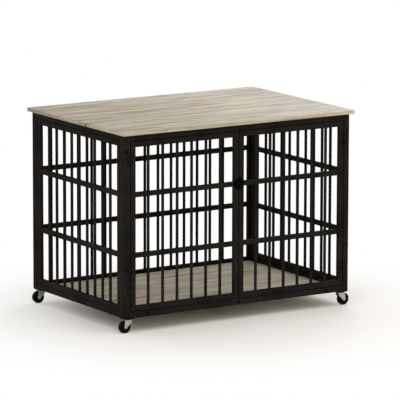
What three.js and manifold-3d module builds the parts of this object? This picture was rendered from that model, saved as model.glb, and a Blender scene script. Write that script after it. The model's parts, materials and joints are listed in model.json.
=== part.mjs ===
// Dog crate end table: a steel grille crate on four swivel casters, under a two-board table top.
// Millimetres, +Z up. The origin is on the ground, under the middle of the table top.
// +X runs along the long side and the doors open towards -Y.
import * as THREE from 'three';
import { mergeVertices } from 'three/addons/utils/BufferGeometryUtils.js';
import Module from 'manifold-3d';

const wasm = await Module();
wasm.setup();

// ---------------------------------------------------------------- driving dimensions

const SEAT = 0.3;               // gap between faces that bear on each other
const RUNNING_GAP = 0.3;        // radial gap of a pin, bolt or shaft in its hole

const TOP_LENGTH = 1100;        // table top, along X
const TOP_DEPTH = 760;          // table top, along Y
const TOP_THICKNESS = 15;
const TOP_OVERHANG = 16;        // table top past the frame, on every side
const TOP_FRONT_BOARD = 289;    // depth of the front one of the two boards
const TOP_CORNER_RADIUS = 4;
const BOARD_EDGE_ROUND = 1;

const FRAME_HEIGHT = 735;       // from the casters' plates to the table top
const TUBE_FACE = 25;           // outer frame tube, as wide as it looks from outside
const TUBE_DEPTH = 15;          // every frame tube, through the panel
const INNER_TUBE_FACE = 23;     // tube of the doors and of the side panels' inner frames
const TUBE_ROUND = 1.2;         // radius of the tubes' long corners
const WELD_SINK = 1;            // how far a welded bar or rail runs into its neighbour
const DOOR_GAP = 2;             // between a door and what is next to it

const RAIL_HEIGHT = 20;
const LOWER_RAIL = 242;         // underside of each panel's lower rail, above the frame's foot
const UPPER_RAIL = 485;
const BAR_DIAMETER = 12;
const DOOR_BARS = 6;
const SIDE_BARS = 9;
const SIDE_END_GAP = 55;        // from the side panels' inner frame to the nearest bar
const BACK_BARS = 15;

const FLOOR_THICKNESS = 8;
const FLOOR_EDGE_GAP = 0.5;     // between the floor board and the straps' turned-up ends
const STRAP_THICKNESS = 2;
const STRAP_WIDTH = 30;
const STRAP_END_HEIGHT = 21;
const STRAP_INSET = 107;        // from the frame's end to the middle of an outer strap
const BRACKET_WIDTH = 40;
const BRACKET_REACH = 22;

const BOLT_RADIUS = 3;
const BOLT_HEAD_RADIUS = 6;
const BOLT_HEAD_HEIGHT = 3.2;
const POST_BOLT_DROP = 66;      // upper post bolt, below the frame's top
const POST_BOLT_RISE = 195;     // lower post bolt, above the frame's foot
const POST_BOLT_BITE = 18;      // length of a post bolt inside the side panel

const HINGE_HEIGHT = 36;
const HINGE_LEAF = 14.5;        // from the pin's axis to the leaf's free edge
const HINGE_THICKNESS = 1.5;
const HINGE_KNUCKLE_RADIUS = 3;
const HINGE_PIN_RADIUS = 1.5;
const HINGE_PIN_HEAD = 1.2;
const HINGE_DROP = 98;          // middle of an upper hinge, below the frame's top
const HINGE_RISE = 110;         // middle of a lower hinge, above the frame's foot
const HINGE_CORNER = 2;

const LATCH_PLATE = 3;
const LATCH_HOUSING_HEIGHT = 13;
const LATCH_HOUSING_DEPTH = 9;
const LATCH_HOUSING_START = 19; // outer end of the housing, from the doors' meeting line
const LATCH_BOLT_RADIUS = 3.5;
const LATCH_BOLT_LENGTH = 17;
const LATCH_TRAVEL = 9;
const LATCH_NECK_RADIUS = 2;
const LATCH_KNOB_RADIUS = 5;
const LATCH_KNOB_LENGTH = 3;
const KEEPER_LENGTH = 13;

const CASTER_HEIGHT = 60;       // from the ground to the frame's foot
const CASTER_PLATE = 44;
const CASTER_PLATE_THICKNESS = 2.5;
const CASTER_PLATE_CORNER = 4;
const RACE_RADIUS = 13;
const RACE_HEIGHT = 3;
const KINGPIN_RADIUS = 4;
const KINGPIN_HEAD_RADIUS = 6;
const KINGPIN_HEAD = 1.4;
const FORK_SHEET = 2;
const FORK_TRAIL = 12;          // from the swivel's axis to the axle
const FORK_EYE_RADIUS = 7;
const FORK_CROWN_BACK = 20;     // crown's reach from the swivel's axis, away from the axle
const FORK_CROWN_FRONT = 16;
const FORK_CROWN_CORNER = 5;
const FORK_KNEE = 26;           // from the axle back to the knee of the cheek's edge
const FORK_KNEE_RISE = 16;
const WHEEL_RADIUS = 25;
const WHEEL_WIDTH = 18;
const WHEEL_SIDE_GAP = 1;       // between the tread's side and the fork's cheek
const WHEEL_SHOULDER = 3;
const WHEEL_RIM_RADIUS = 18;
const WHEEL_HUB_RADIUS = 8;
const WHEEL_WEB = 8;
const AXLE_RADIUS = 3;
const AXLE_HEAD_RADIUS = 5;
const AXLE_HEAD = 2;

const BAR_SIDES = 8;
const BOLT_SIDES = 8;
const PIN_SIDES = 8;
const SMALL_SIDES = 12;
const WHEEL_SIDES = 20;

// ---------------------------------------------------------------- derived places

const frameLength = TOP_LENGTH - 2 * TOP_OVERHANG;
const frameDepth = TOP_DEPTH - 2 * TOP_OVERHANG;
const frameFoot = CASTER_HEIGHT;
const frameTop = frameFoot + FRAME_HEIGHT;
const frontFace = -frameDepth / 2;
const sidePanelWidth = frameDepth - 2 * (TUBE_DEPTH + SEAT);
const sideMiddleX = frameLength / 2 - TUBE_DEPTH / 2;
const endMiddleY = frameDepth / 2 - TUBE_DEPTH / 2;

const doorwayLength = frameLength - 2 * TUBE_FACE;
const doorWidth = (doorwayLength - 3 * DOOR_GAP) / 2;
const doorHeight = FRAME_HEIGHT - 2 * TUBE_FACE - 2 * DOOR_GAP;
const doorFoot = frameFoot + TUBE_FACE + DOOR_GAP;
const doorMiddleX = DOOR_GAP / 2 + doorWidth / 2;

const hingeAxisX = frameLength / 2 - TUBE_FACE - DOOR_GAP / 2;
const hingeAxisY = frontFace - SEAT - HINGE_KNUCKLE_RADIUS;
const hingeLevels = { upper: frameTop - HINGE_DROP, lower: frameFoot + HINGE_RISE };

const boltLevels = { upper: frameTop - POST_BOLT_DROP, lower: frameFoot + POST_BOLT_RISE };
const railBoltLevel = frameFoot + TUBE_FACE / 2;
const holeRadius = BOLT_RADIUS + RUNNING_GAP;

const latchLevel = frameFoot + UPPER_RAIL + RAIL_HEIGHT / 2;

// ---------------------------------------------------------------- materials

function finish(color, roughness, metalness) {
  return new THREE.MeshStandardMaterial({ color, roughness, metalness });
}

const FINISHES = {
  frameSteel: () => finish('#26221f', 0.6, 0.3),
  board: () => finish('#b7ad9c', 0.65, 0),
  boltSteel: () => finish('#1a1817', 0.45, 0.6),
  latchSteel: () => finish('#171615', 0.4, 0.5),
  zinc: () => finish('#c9cacb', 0.35, 1),
  tread: () => finish('#1b1b1c', 0.7, 0),
};

// ---------------------------------------------------------------- solids

function toSolid(geometry) {
  const bare = geometry.clone();
  bare.deleteAttribute('normal');
  bare.deleteAttribute('uv');
  const merged = mergeVertices(bare, 1e-4);
  return new wasm.Manifold(new wasm.Mesh({
    numProp: 3,
    vertProperties: new Float32Array(merged.attributes.position.array),
    triVerts: new Uint32Array(merged.index.array),
  }));
}

function toGeometry(solid) {
  const mesh = solid.getMesh();
  const geometry = new THREE.BufferGeometry();
  geometry.setAttribute('position', new THREE.BufferAttribute(new Float32Array(mesh.vertProperties), 3));
  geometry.setIndex(new THREE.BufferAttribute(new Uint32Array(mesh.triVerts), 1));
  geometry.computeVertexNormals();
  return geometry;
}

function join(solids) {
  return solids.reduce((whole, solid) => whole.add(solid));
}

function cut(solid, tools) {
  return tools.reduce((rest, tool) => rest.subtract(tool), solid);
}

function box(x0, x1, y0, y1, z0, z1) {
  const geometry = new THREE.BoxGeometry(x1 - x0, y1 - y0, z1 - z0);
  geometry.translate((x0 + x1) / 2, (y0 + y1) / 2, (z0 + z1) / 2);
  return toSolid(geometry);
}

// A cylinder whose axis runs from a to b.
function rod(a, b, radius, sides) {
  const start = new THREE.Vector3(...a);
  const run = new THREE.Vector3(...b).sub(start);
  const geometry = new THREE.CylinderGeometry(radius, radius, run.length(), sides);
  geometry.translate(0, run.length() / 2, 0);
  geometry.applyQuaternion(new THREE.Quaternion().setFromUnitVectors(
    new THREE.Vector3(0, 1, 0), run.clone().normalize()));
  geometry.translate(start.x, start.y, start.z);
  return toSolid(geometry);
}

// A round hole whose flats keep the radius asked for.
function bore(a, b, radius, sides) {
  return rod(a, b, radius / Math.cos(Math.PI / sides), sides);
}

// A turned solid about +Z. The profile lists [radius, z] from the foot up.
function turned(profile, sides) {
  const points = profile.map(([radius, z]) => new THREE.Vector2(radius, z));
  const geometry = new THREE.LatheGeometry(points, sides);
  geometry.rotateX(Math.PI / 2);
  return toSolid(geometry);
}

// A flat outline in X and Y, raised along +Z.
function plate(shape, thickness, curveSegments = 6) {
  return toSolid(new THREE.ExtrudeGeometry(shape, { depth: thickness, bevelEnabled: false, curveSegments }));
}

function roundedRectangle(x0, x1, y0, y1, radius) {
  const shape = new THREE.Shape();
  shape.moveTo(x0 + radius, y0);
  shape.lineTo(x1 - radius, y0);
  shape.absarc(x1 - radius, y0 + radius, radius, -Math.PI / 2, 0);
  shape.lineTo(x1, y1 - radius);
  shape.absarc(x1 - radius, y1 - radius, radius, 0, Math.PI / 2);
  shape.lineTo(x0 + radius, y1);
  shape.absarc(x0 + radius, y1 - radius, radius, Math.PI / 2, Math.PI);
  shape.lineTo(x0, y0 + radius);
  shape.absarc(x0 + radius, y0 + radius, radius, Math.PI, 1.5 * Math.PI);
  return shape;
}

function rectangle(path, x0, x1, y0, y1) {
  path.moveTo(x0, y0);
  path.lineTo(x1, y0);
  path.lineTo(x1, y1);
  path.lineTo(x0, y1);
  path.closePath();
  return path;
}

// ---------------------------------------------------------------- welded panels
// A panel is built upright in X and Z, its foot on z = 0, its middle on x = 0 and y = 0.

// Four mitred lengths of round-cornered tube, welded into a ring.
function tubeRing(width, height, face, foot = 0) {
  const half = width / 2 - TUBE_ROUND;
  const shape = rectangle(new THREE.Shape(), -half, half, TUBE_ROUND, height - TUBE_ROUND);
  const reach = width / 2 - face + TUBE_ROUND;
  shape.holes.push(rectangle(new THREE.Path(), -reach, reach, face - TUBE_ROUND, height - face + TUBE_ROUND));
  const geometry = new THREE.ExtrudeGeometry(shape, {
    depth: TUBE_DEPTH - 2 * TUBE_ROUND,
    bevelThickness: TUBE_ROUND,
    bevelSize: TUBE_ROUND,
    bevelSegments: 1,
  });
  geometry.translate(0, 0, TUBE_ROUND - TUBE_DEPTH / 2);
  geometry.rotateX(Math.PI / 2);
  geometry.translate(0, 0, foot);
  return toSolid(geometry);
}

// A level tube between the ring's posts.
function rail(length, level) {
  const section = roundedRectangle(-TUBE_DEPTH / 2, TUBE_DEPTH / 2, 0, RAIL_HEIGHT, TUBE_ROUND);
  const run = length + 2 * WELD_SINK;
  const geometry = new THREE.ExtrudeGeometry(section, { depth: run, bevelEnabled: false, curveSegments: 1 });
  geometry.rotateX(Math.PI / 2);
  geometry.rotateZ(Math.PI / 2);
  geometry.translate(-run / 2, 0, level);
  return toSolid(geometry);
}

// Gap beside the first and last bar that makes all the gaps of an opening alike.
function evenGap(length, count) {
  return (length - count * BAR_DIAMETER) / (count + 1);
}

// Upright round bars across an opening, evenly spaced between the two that stand next to its ends.
function bars(length, foot, top, count, endGap) {
  const pitch = (length - 2 * endGap - BAR_DIAMETER) / (count - 1);
  return Array.from({ length: count }, (_, index) => {
    const x = (index - (count - 1) / 2) * pitch;
    return rod([x, 0, foot - WELD_SINK], [x, 0, top + WELD_SINK], BAR_DIAMETER / 2, BAR_SIDES);
  });
}

// Rails and bars that fill a ring's opening. rise is how far the panel's foot is above the frame's foot.
function grille({ width, height, border, count, endGap, rise = 0 }) {
  const length = width - 2 * border;
  const rails = [LOWER_RAIL, UPPER_RAIL].map((level) => rail(length, level - rise));
  const uprights = bars(length, border, height - border, count, endGap ?? evenGap(length, count));
  return join([...rails, ...uprights]);
}

function boltHoleY(x, z) {
  return bore([x, -TUBE_DEPTH, z], [x, TUBE_DEPTH, z], holeRadius, BOLT_SIDES);
}

// Holes of the bolts that pass through an end panel's posts and foot rail.
function endPanelHoles() {
  const posts = [-sideMiddleX, sideMiddleX].flatMap(
    (x) => Object.values(boltLevels).map((z) => boltHoleY(x, z - frameFoot)));
  const foot = strapPlaces().map(({ x }) => boltHoleY(x, railBoltLevel - frameFoot));
  return [...posts, ...foot];
}

function frontFrame() {
  return cut(tubeRing(frameLength, FRAME_HEIGHT, TUBE_FACE), endPanelHoles());
}

function backPanel() {
  const ring = tubeRing(frameLength, FRAME_HEIGHT, TUBE_FACE);
  const filled = ring.add(grille({
    width: frameLength, height: FRAME_HEIGHT, border: TUBE_FACE, count: BACK_BARS,
  }));
  return cut(filled, endPanelHoles());
}

// Outer ring and inner ring are welded side by side, and their round corners leave a groove.
function sidePanel() {
  const lap = SEAT;
  const inner = sidePanelWidth - 2 * TUBE_FACE + 2 * lap;
  const innerHeight = FRAME_HEIGHT - 2 * TUBE_FACE + 2 * lap;
  const border = TUBE_FACE + INNER_TUBE_FACE;
  const welded = join([
    tubeRing(sidePanelWidth, FRAME_HEIGHT, TUBE_FACE),
    tubeRing(inner, innerHeight, INNER_TUBE_FACE + lap, TUBE_FACE - lap),
    grille({ width: sidePanelWidth, height: FRAME_HEIGHT, border, count: SIDE_BARS, endGap: SIDE_END_GAP }),
  ]);
  const end = sidePanelWidth / 2;
  const bite = POST_BOLT_BITE + 1;
  const postHoles = Object.values(boltLevels).flatMap((level) => {
    const z = level - frameFoot;
    return [-1, 1].map((side) => bore(
      [side * (end - bite), 0, z], [side * (end + 1), 0, z], holeRadius, BOLT_SIDES));
  });
  return cut(welded, [...postHoles, boltHoleY(0, railBoltLevel - frameFoot)]);
}

function door() {
  const ring = tubeRing(doorWidth, doorHeight, INNER_TUBE_FACE);
  return ring.add(grille({
    width: doorWidth, height: doorHeight, border: INNER_TUBE_FACE, count: DOOR_BARS, rise: doorFoot - frameFoot,
  }));
}

// ---------------------------------------------------------------- boards

// A board with a round edge all round and, where asked, round corners at its -Y or +Y end.
function board(x0, x1, y0, y1, thickness, frontRadius, rearRadius) {
  const round = BOARD_EDGE_ROUND;
  const left = x0 + round;
  const right = x1 - round;
  const front = y0 + round;
  const rear = y1 - round;
  const shape = new THREE.Shape();
  shape.moveTo(left + frontRadius, front);
  shape.lineTo(right - frontRadius, front);
  shape.quadraticCurveTo(right, front, right, front + frontRadius);
  shape.lineTo(right, rear - rearRadius);
  shape.quadraticCurveTo(right, rear, right - rearRadius, rear);
  shape.lineTo(left + rearRadius, rear);
  shape.quadraticCurveTo(left, rear, left, rear - rearRadius);
  shape.lineTo(left, front + frontRadius);
  shape.quadraticCurveTo(left, front, left + frontRadius, front);
  const geometry = new THREE.ExtrudeGeometry(shape, {
    depth: thickness - 2 * round,
    bevelThickness: round,
    bevelSize: round,
    bevelSegments: 1,
    curveSegments: 2,
  });
  geometry.translate(0, 0, round);
  return toSolid(geometry);
}

const topFront = -TOP_DEPTH / 2;
const topJoint = topFront + TOP_FRONT_BOARD;
const topSquareCorner = 0.2;

function topFrontBoard() {
  return board(-TOP_LENGTH / 2, TOP_LENGTH / 2, topFront, topJoint - SEAT / 2, TOP_THICKNESS,
    TOP_CORNER_RADIUS, topSquareCorner);
}

function topRearBoard() {
  return board(-TOP_LENGTH / 2, TOP_LENGTH / 2, topJoint + SEAT / 2, TOP_DEPTH / 2, TOP_THICKNESS,
    topSquareCorner, TOP_CORNER_RADIUS);
}

// ---------------------------------------------------------------- floor

const strapEndY = frameDepth / 2 - TUBE_DEPTH - SEAT;
const floorHalfDepth = strapEndY - STRAP_THICKNESS - FLOOR_EDGE_GAP;
const floorHalfLength = frameLength / 2 - TUBE_DEPTH - SEAT - STRAP_THICKNESS - FLOOR_EDGE_GAP;
const floorFoot = frameFoot + STRAP_THICKNESS + SEAT;

function strapPlaces() {
  const outer = frameLength / 2 - STRAP_INSET;
  return [
    { side: 'left', x: -outer },
    { side: 'middle', x: 0 },
    { side: 'right', x: outer },
  ];
}

function floorBoard() {
  return board(-floorHalfLength, floorHalfLength, -floorHalfDepth, floorHalfDepth, FLOOR_THICKNESS,
    TOP_CORNER_RADIUS, TOP_CORNER_RADIUS);
}

// Flat strap from front to back under the floor board, both ends turned up against the panels.
function strap() {
  const profile = new THREE.Shape();
  const bend = STRAP_THICKNESS;
  profile.moveTo(-strapEndY, bend);
  profile.quadraticCurveTo(-strapEndY, 0, -strapEndY + bend, 0);
  profile.lineTo(strapEndY - bend, 0);
  profile.quadraticCurveTo(strapEndY, 0, strapEndY, bend);
  profile.lineTo(strapEndY, STRAP_END_HEIGHT);
  profile.lineTo(strapEndY - STRAP_THICKNESS, STRAP_END_HEIGHT);
  profile.lineTo(strapEndY - STRAP_THICKNESS, STRAP_THICKNESS);
  profile.lineTo(-strapEndY + STRAP_THICKNESS, STRAP_THICKNESS);
  profile.lineTo(-strapEndY + STRAP_THICKNESS, STRAP_END_HEIGHT);
  profile.lineTo(-strapEndY, STRAP_END_HEIGHT);
  profile.closePath();
  const geometry = new THREE.ExtrudeGeometry(profile, { depth: STRAP_WIDTH, bevelEnabled: false, curveSegments: 2 });
  geometry.translate(0, 0, -STRAP_WIDTH / 2);
  geometry.rotateX(Math.PI / 2);
  geometry.rotateZ(Math.PI / 2);
  const z = railBoltLevel - frameFoot;
  const holes = [-1, 1].map((end) => bore(
    [0, end * (strapEndY - 2 * STRAP_THICKNESS), z], [0, end * (strapEndY + 1), z], holeRadius, BOLT_SIDES));
  return cut(toSolid(geometry), holes);
}

// Angle bracket that carries the middle of the floor board's end, with its own rivet through the rail.
// Built for the +X side: its upright is next to x = 0 and its foot reaches towards -X.
function floorBracket() {
  const profile = new THREE.Shape();
  profile.moveTo(-BRACKET_REACH, 0);
  profile.lineTo(0, 0);
  profile.lineTo(0, STRAP_END_HEIGHT);
  profile.lineTo(-STRAP_THICKNESS, STRAP_END_HEIGHT);
  profile.lineTo(-STRAP_THICKNESS, STRAP_THICKNESS);
  profile.lineTo(-BRACKET_REACH, STRAP_THICKNESS);
  profile.closePath();
  const geometry = new THREE.ExtrudeGeometry(profile, { depth: BRACKET_WIDTH, bevelEnabled: false });
  geometry.translate(0, 0, -BRACKET_WIDTH / 2);
  geometry.rotateX(Math.PI / 2);
  const z = railBoltLevel - frameFoot;
  const outside = TUBE_DEPTH + 2 * SEAT;
  return join([
    toSolid(geometry),
    rod([-STRAP_THICKNESS / 2, 0, z], [outside + 0.5, 0, z], BOLT_RADIUS, BOLT_SIDES),
    rod([outside, 0, z], [outside + BOLT_HEAD_HEIGHT / 2, 0, z], BOLT_HEAD_RADIUS, BOLT_SIDES),
  ]);
}

// ---------------------------------------------------------------- bolts

// Button-head bolt. Its head stands on z = 0 and its shank runs down.
function bolt(shank) {
  const crown = BOLT_HEAD_HEIGHT;
  return turned([
    [0, -shank],
    [BOLT_RADIUS, -shank],
    [BOLT_RADIUS, 0],
    [BOLT_HEAD_RADIUS, 0],
    [BOLT_HEAD_RADIUS * 0.85, crown * 0.6],
    [BOLT_HEAD_RADIUS * 0.4, crown],
    [0, crown],
  ], BOLT_SIDES);
}

const postBoltShank = SEAT + TUBE_DEPTH + SEAT + POST_BOLT_BITE;
const footBoltShank = SEAT + TUBE_DEPTH + SEAT + STRAP_THICKNESS;

// ---------------------------------------------------------------- hinges
// Built about the pin, which runs along z through the origin. The leaves lie behind it, on the frame's
// face, and "side" is +1 for the leaf that reaches towards +X.

const knuckleHeight = (HINGE_HEIGHT - 2 * SEAT) / 3;
const leafBack = HINGE_KNUCKLE_RADIUS;
const leafFront = HINGE_KNUCKLE_RADIUS - HINGE_THICKNESS;

function knuckleSpan(index) {
  const foot = -HINGE_HEIGHT / 2 + index * (knuckleHeight + SEAT);
  return [foot, foot + knuckleHeight];
}

function hingeLeaf(side, knuckles) {
  const inner = HINGE_KNUCKLE_RADIUS + SEAT;
  const outline = roundedRectangle(0, HINGE_LEAF - inner, -HINGE_HEIGHT / 2, HINGE_HEIGHT / 2, HINGE_CORNER);
  const geometry = new THREE.ExtrudeGeometry(outline, {
    depth: HINGE_THICKNESS, bevelEnabled: false, curveSegments: 1,
  });
  geometry.rotateX(Math.PI / 2);
  geometry.translate(inner, leafBack, 0);
  const flat = toSolid(geometry);
  const parts = [flat, box(inner, inner + HINGE_CORNER, leafFront, leafBack, -HINGE_HEIGHT / 2, HINGE_HEIGHT / 2)];
  for (const index of knuckles) {
    const [foot, top] = knuckleSpan(index);
    parts.push(box(0, inner + 0.5, leafFront, leafBack, foot, top));
    parts.push(rod([0, 0, foot], [0, 0, top], HINGE_KNUCKLE_RADIUS, PIN_SIDES));
  }
  const pinHole = bore([0, 0, -HINGE_HEIGHT], [0, 0, HINGE_HEIGHT], HINGE_PIN_RADIUS + RUNNING_GAP, PIN_SIDES);
  const leaf = join(parts).subtract(pinHole);
  return side > 0 ? leaf : leaf.mirror([1, 0, 0]);
}

function hingePin() {
  const end = HINGE_HEIGHT / 2 + SEAT;
  const headRadius = HINGE_KNUCKLE_RADIUS - 0.4;
  return turned([
    [0, -end - HINGE_PIN_HEAD],
    [headRadius - 0.7, -end - HINGE_PIN_HEAD],
    [headRadius, -end],
    [HINGE_PIN_RADIUS, -end],
    [HINGE_PIN_RADIUS, end],
    [headRadius, end],
    [headRadius - 0.7, end + HINGE_PIN_HEAD],
    [0, end + HINGE_PIN_HEAD],
  ], PIN_SIDES);
}

// ---------------------------------------------------------------- latch
// A round latch in two halves that meet over the doors' meeting line. It is built on a face at y = 0 that
// looks towards -Y, with the meeting line at x = 0, and it stands out towards -Y.

const latchRadius = INNER_TUBE_FACE;
const latchAxisY = -LATCH_PLATE - LATCH_HOUSING_DEPTH / 2;

// Half a disc whose straight side stands half a door gap from the meeting line.
function halfDisc(side) {
  const shape = new THREE.Shape();
  shape.moveTo(0, -latchRadius);
  shape.absarc(0, 0, latchRadius, -Math.PI / 2, Math.PI / 2);
  shape.closePath();
  const solid = plate(shape, LATCH_PLATE, 8).rotate([90, 0, 0]);
  const placed = solid.translate([DOOR_GAP / 2, 0, 0]);
  return side > 0 ? placed : placed.mirror([1, 0, 0]);
}

// Raised barrel across a half disc, round at its front.
function latchBarrel(x0, x1) {
  const radius = LATCH_HOUSING_HEIGHT / 2;
  const section = new THREE.Shape();
  const straight = LATCH_HOUSING_DEPTH + LATCH_PLATE - radius;
  section.moveTo(radius, 0);
  section.lineTo(radius, straight);
  section.absarc(0, straight, radius, 0, Math.PI);
  section.lineTo(-radius, 0);
  section.closePath();
  const geometry = new THREE.ExtrudeGeometry(section, { depth: x1 - x0, bevelEnabled: false, curveSegments: 4 });
  // section x becomes z, section y becomes -y, and the extrusion runs along x
  geometry.applyMatrix4(new THREE.Matrix4().makeBasis(
    new THREE.Vector3(0, 0, 1), new THREE.Vector3(0, -1, 0), new THREE.Vector3(1, 0, 0)));
  geometry.translate(x0, 0, 0);
  return toSolid(geometry);
}

const latchFoot = DOOR_GAP / 2;
const latchHoleRadius = LATCH_BOLT_RADIUS + RUNNING_GAP;
const knobRest = -LATCH_HOUSING_START + LATCH_NECK_RADIUS + 3;

function latchBody() {
  const slotReach = LATCH_NECK_RADIUS + RUNNING_GAP;
  const barrelFront = -LATCH_PLATE - LATCH_HOUSING_DEPTH - 1;
  return cut(halfDisc(-1).add(latchBarrel(-LATCH_HOUSING_START, -latchFoot)), [
    bore([-LATCH_HOUSING_START - 1, latchAxisY, 0], [1, latchAxisY, 0], latchHoleRadius, SMALL_SIDES),
    box(knobRest - slotReach, knobRest + LATCH_TRAVEL + slotReach, barrelFront, latchAxisY, -slotReach, slotReach),
  ]);
}

function latchBolt() {
  const tip = -latchFoot - SEAT;
  const tail = tip - LATCH_BOLT_LENGTH;
  const knobBack = -LATCH_PLATE - LATCH_HOUSING_DEPTH - SEAT;
  return join([
    rod([tail, latchAxisY, 0], [tip, latchAxisY, 0], LATCH_BOLT_RADIUS, SMALL_SIDES),
    rod([knobRest, latchAxisY, 0], [knobRest, knobBack - 1, 0], LATCH_NECK_RADIUS, SMALL_SIDES),
    turned([
      [0, 0],
      [LATCH_KNOB_RADIUS, 0],
      [LATCH_KNOB_RADIUS, LATCH_KNOB_LENGTH - 1],
      [LATCH_KNOB_RADIUS - 1, LATCH_KNOB_LENGTH],
      [0, LATCH_KNOB_LENGTH],
    ], SMALL_SIDES).rotate([90, 0, 0]).translate([knobRest, knobBack, 0]),
  ]);
}

function latchKeeper() {
  return halfDisc(1).add(latchBarrel(latchFoot, latchFoot + KEEPER_LENGTH)).subtract(
    bore([-1, latchAxisY, 0], [latchFoot + KEEPER_LENGTH - 2, latchAxisY, 0], latchHoleRadius, SMALL_SIDES));
}

// ---------------------------------------------------------------- casters
// Built about the swivel's axis, with z = 0 on the ground. The wheel trails towards +X.

const plateTop = CASTER_HEIGHT - SEAT;
const plateFoot = plateTop - CASTER_PLATE_THICKNESS;
const raceFoot = plateFoot - RACE_HEIGHT;
const crownTop = raceFoot - SEAT;
const crownFoot = crownTop - FORK_SHEET;
const cheekInside = WHEEL_WIDTH / 2 + WHEEL_SIDE_GAP;
const cheekOutside = cheekInside + FORK_SHEET;

function casterPlate() {
  const half = CASTER_PLATE / 2;
  const flat = plate(roundedRectangle(-half, half, -half, half, CASTER_PLATE_CORNER), CASTER_PLATE_THICKNESS, 1)
    .translate([0, 0, plateFoot]);
  const headTop = crownFoot - SEAT;
  const swivel = turned([
    [0, headTop - KINGPIN_HEAD],
    [KINGPIN_HEAD_RADIUS - 1, headTop - KINGPIN_HEAD],
    [KINGPIN_HEAD_RADIUS, headTop],
    [KINGPIN_RADIUS, headTop],
    [KINGPIN_RADIUS, raceFoot],
    [RACE_RADIUS - 1, raceFoot],
    [RACE_RADIUS, plateFoot],
    [RACE_RADIUS - 1, plateFoot + 1],
    [0, plateFoot + 1],
  ], SMALL_SIDES);
  return flat.add(swivel);
}

// One cheek of the fork: wide at the crown, with a knee, and tapering to the eye around the axle.
function forkCheek(inside) {
  const eye = new THREE.Vector2(FORK_TRAIL, WHEEL_RADIUS);
  const shape = new THREE.Shape();
  shape.moveTo(-FORK_CROWN_BACK + FORK_CROWN_CORNER, crownTop - FORK_SHEET / 2);
  shape.lineTo(eye.x - FORK_KNEE, eye.y + FORK_KNEE_RISE);
  shape.absarc(eye.x, eye.y, FORK_EYE_RADIUS, 1.35 * Math.PI, 2.02 * Math.PI);
  shape.lineTo(FORK_CROWN_FRONT - FORK_CROWN_CORNER / 3, crownTop - FORK_SHEET / 2);
  shape.closePath();
  // the outline's y is up, and the sheet's thickness runs along y
  return plate(shape, FORK_SHEET, 4).rotate([90, 0, 0]).translate([0, inside + FORK_SHEET, 0]);
}

function casterFork() {
  const outline = roundedRectangle(
    -FORK_CROWN_BACK, FORK_CROWN_FRONT, -cheekOutside, cheekOutside, FORK_CROWN_CORNER);
  const crown = plate(outline, FORK_SHEET, 2).translate([0, 0, crownFoot]);
  return cut(join([crown, forkCheek(cheekInside), forkCheek(-cheekOutside)]), [
    bore([0, 0, crownFoot - 1], [0, 0, crownTop + 1], KINGPIN_RADIUS + RUNNING_GAP, SMALL_SIDES),
    bore([FORK_TRAIL, -cheekOutside - 1, WHEEL_RADIUS], [FORK_TRAIL, cheekOutside + 1, WHEEL_RADIUS],
      AXLE_RADIUS + RUNNING_GAP, PIN_SIDES),
  ]);
}

// Turned about its own axle, which runs along y through the origin.
function casterWheel() {
  const tread = WHEEL_WIDTH / 2;
  const hub = cheekInside - SEAT;
  const flank = [
    [AXLE_RADIUS + RUNNING_GAP, hub],
    [WHEEL_HUB_RADIUS, hub],
    [WHEEL_RIM_RADIUS, WHEEL_WEB / 2],
    [WHEEL_RIM_RADIUS, tread],
    [WHEEL_RADIUS - WHEEL_SHOULDER, tread],
    [WHEEL_RADIUS, tread - WHEEL_SHOULDER],
  ];
  const mirrored = flank.map(([radius, y]) => [radius, -y]);
  return turned([...mirrored, ...flank.reverse(), mirrored[0]], WHEEL_SIDES).rotate([90, 0, 0]);
}

function casterAxle() {
  const end = cheekOutside + SEAT;
  return turned([
    [0, -end - AXLE_HEAD],
    [AXLE_HEAD_RADIUS - 1.5, -end - AXLE_HEAD],
    [AXLE_HEAD_RADIUS, -end],
    [AXLE_RADIUS, -end],
    [AXLE_RADIUS, end],
    [AXLE_HEAD_RADIUS, end],
    [AXLE_HEAD_RADIUS - 1.5, end + AXLE_HEAD],
    [0, end + AXLE_HEAD],
  ], PIN_SIDES).rotate([90, 0, 0]);
}

// ---------------------------------------------------------------- assembly

function part(name, solid, material, position = [0, 0, 0], turn = 0) {
  const mesh = new THREE.Mesh(toGeometry(solid), material());
  mesh.name = name;
  mesh.position.set(...position);
  mesh.rotation.z = turn;
  return mesh;
}

// A bolt that enters a face along y. The head looks towards -Y, or towards +Y for facing = 1.
function boltMesh(name, shank, x, z, facing) {
  const mesh = part(name, bolt(shank), FINISHES.boltSteel);
  mesh.position.set(x, facing * (frameDepth / 2 + SEAT), z);
  mesh.rotation.x = facing < 0 ? Math.PI / 2 : -Math.PI / 2;
  return mesh;
}

const crate = new THREE.Group();

crate.add(
  part('front_frame', frontFrame(), FINISHES.frameSteel, [0, -endMiddleY, frameFoot]),
  part('back_panel', backPanel(), FINISHES.frameSteel, [0, endMiddleY, frameFoot]),
  part('left_side_panel', sidePanel(), FINISHES.frameSteel, [-sideMiddleX, 0, frameFoot], -Math.PI / 2),
  part('right_side_panel', sidePanel(), FINISHES.frameSteel, [sideMiddleX, 0, frameFoot], Math.PI / 2),
  part('table_top_front_board', topFrontBoard(), FINISHES.board, [0, 0, frameTop]),
  part('table_top_rear_board', topRearBoard(), FINISHES.board, [0, 0, frameTop]),
  part('floor_board', floorBoard(), FINISHES.board, [0, 0, floorFoot]),
);

for (const { side, x } of strapPlaces()) {
  crate.add(part(`floor_strap_${side}`, strap(), FINISHES.frameSteel, [x, 0, frameFoot]));
  crate.add(boltMesh(`foot_bolt_front_${side}`, footBoltShank, x, railBoltLevel, -1));
  crate.add(boltMesh(`foot_bolt_back_${side}`, footBoltShank, x, railBoltLevel, 1));
}

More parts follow.
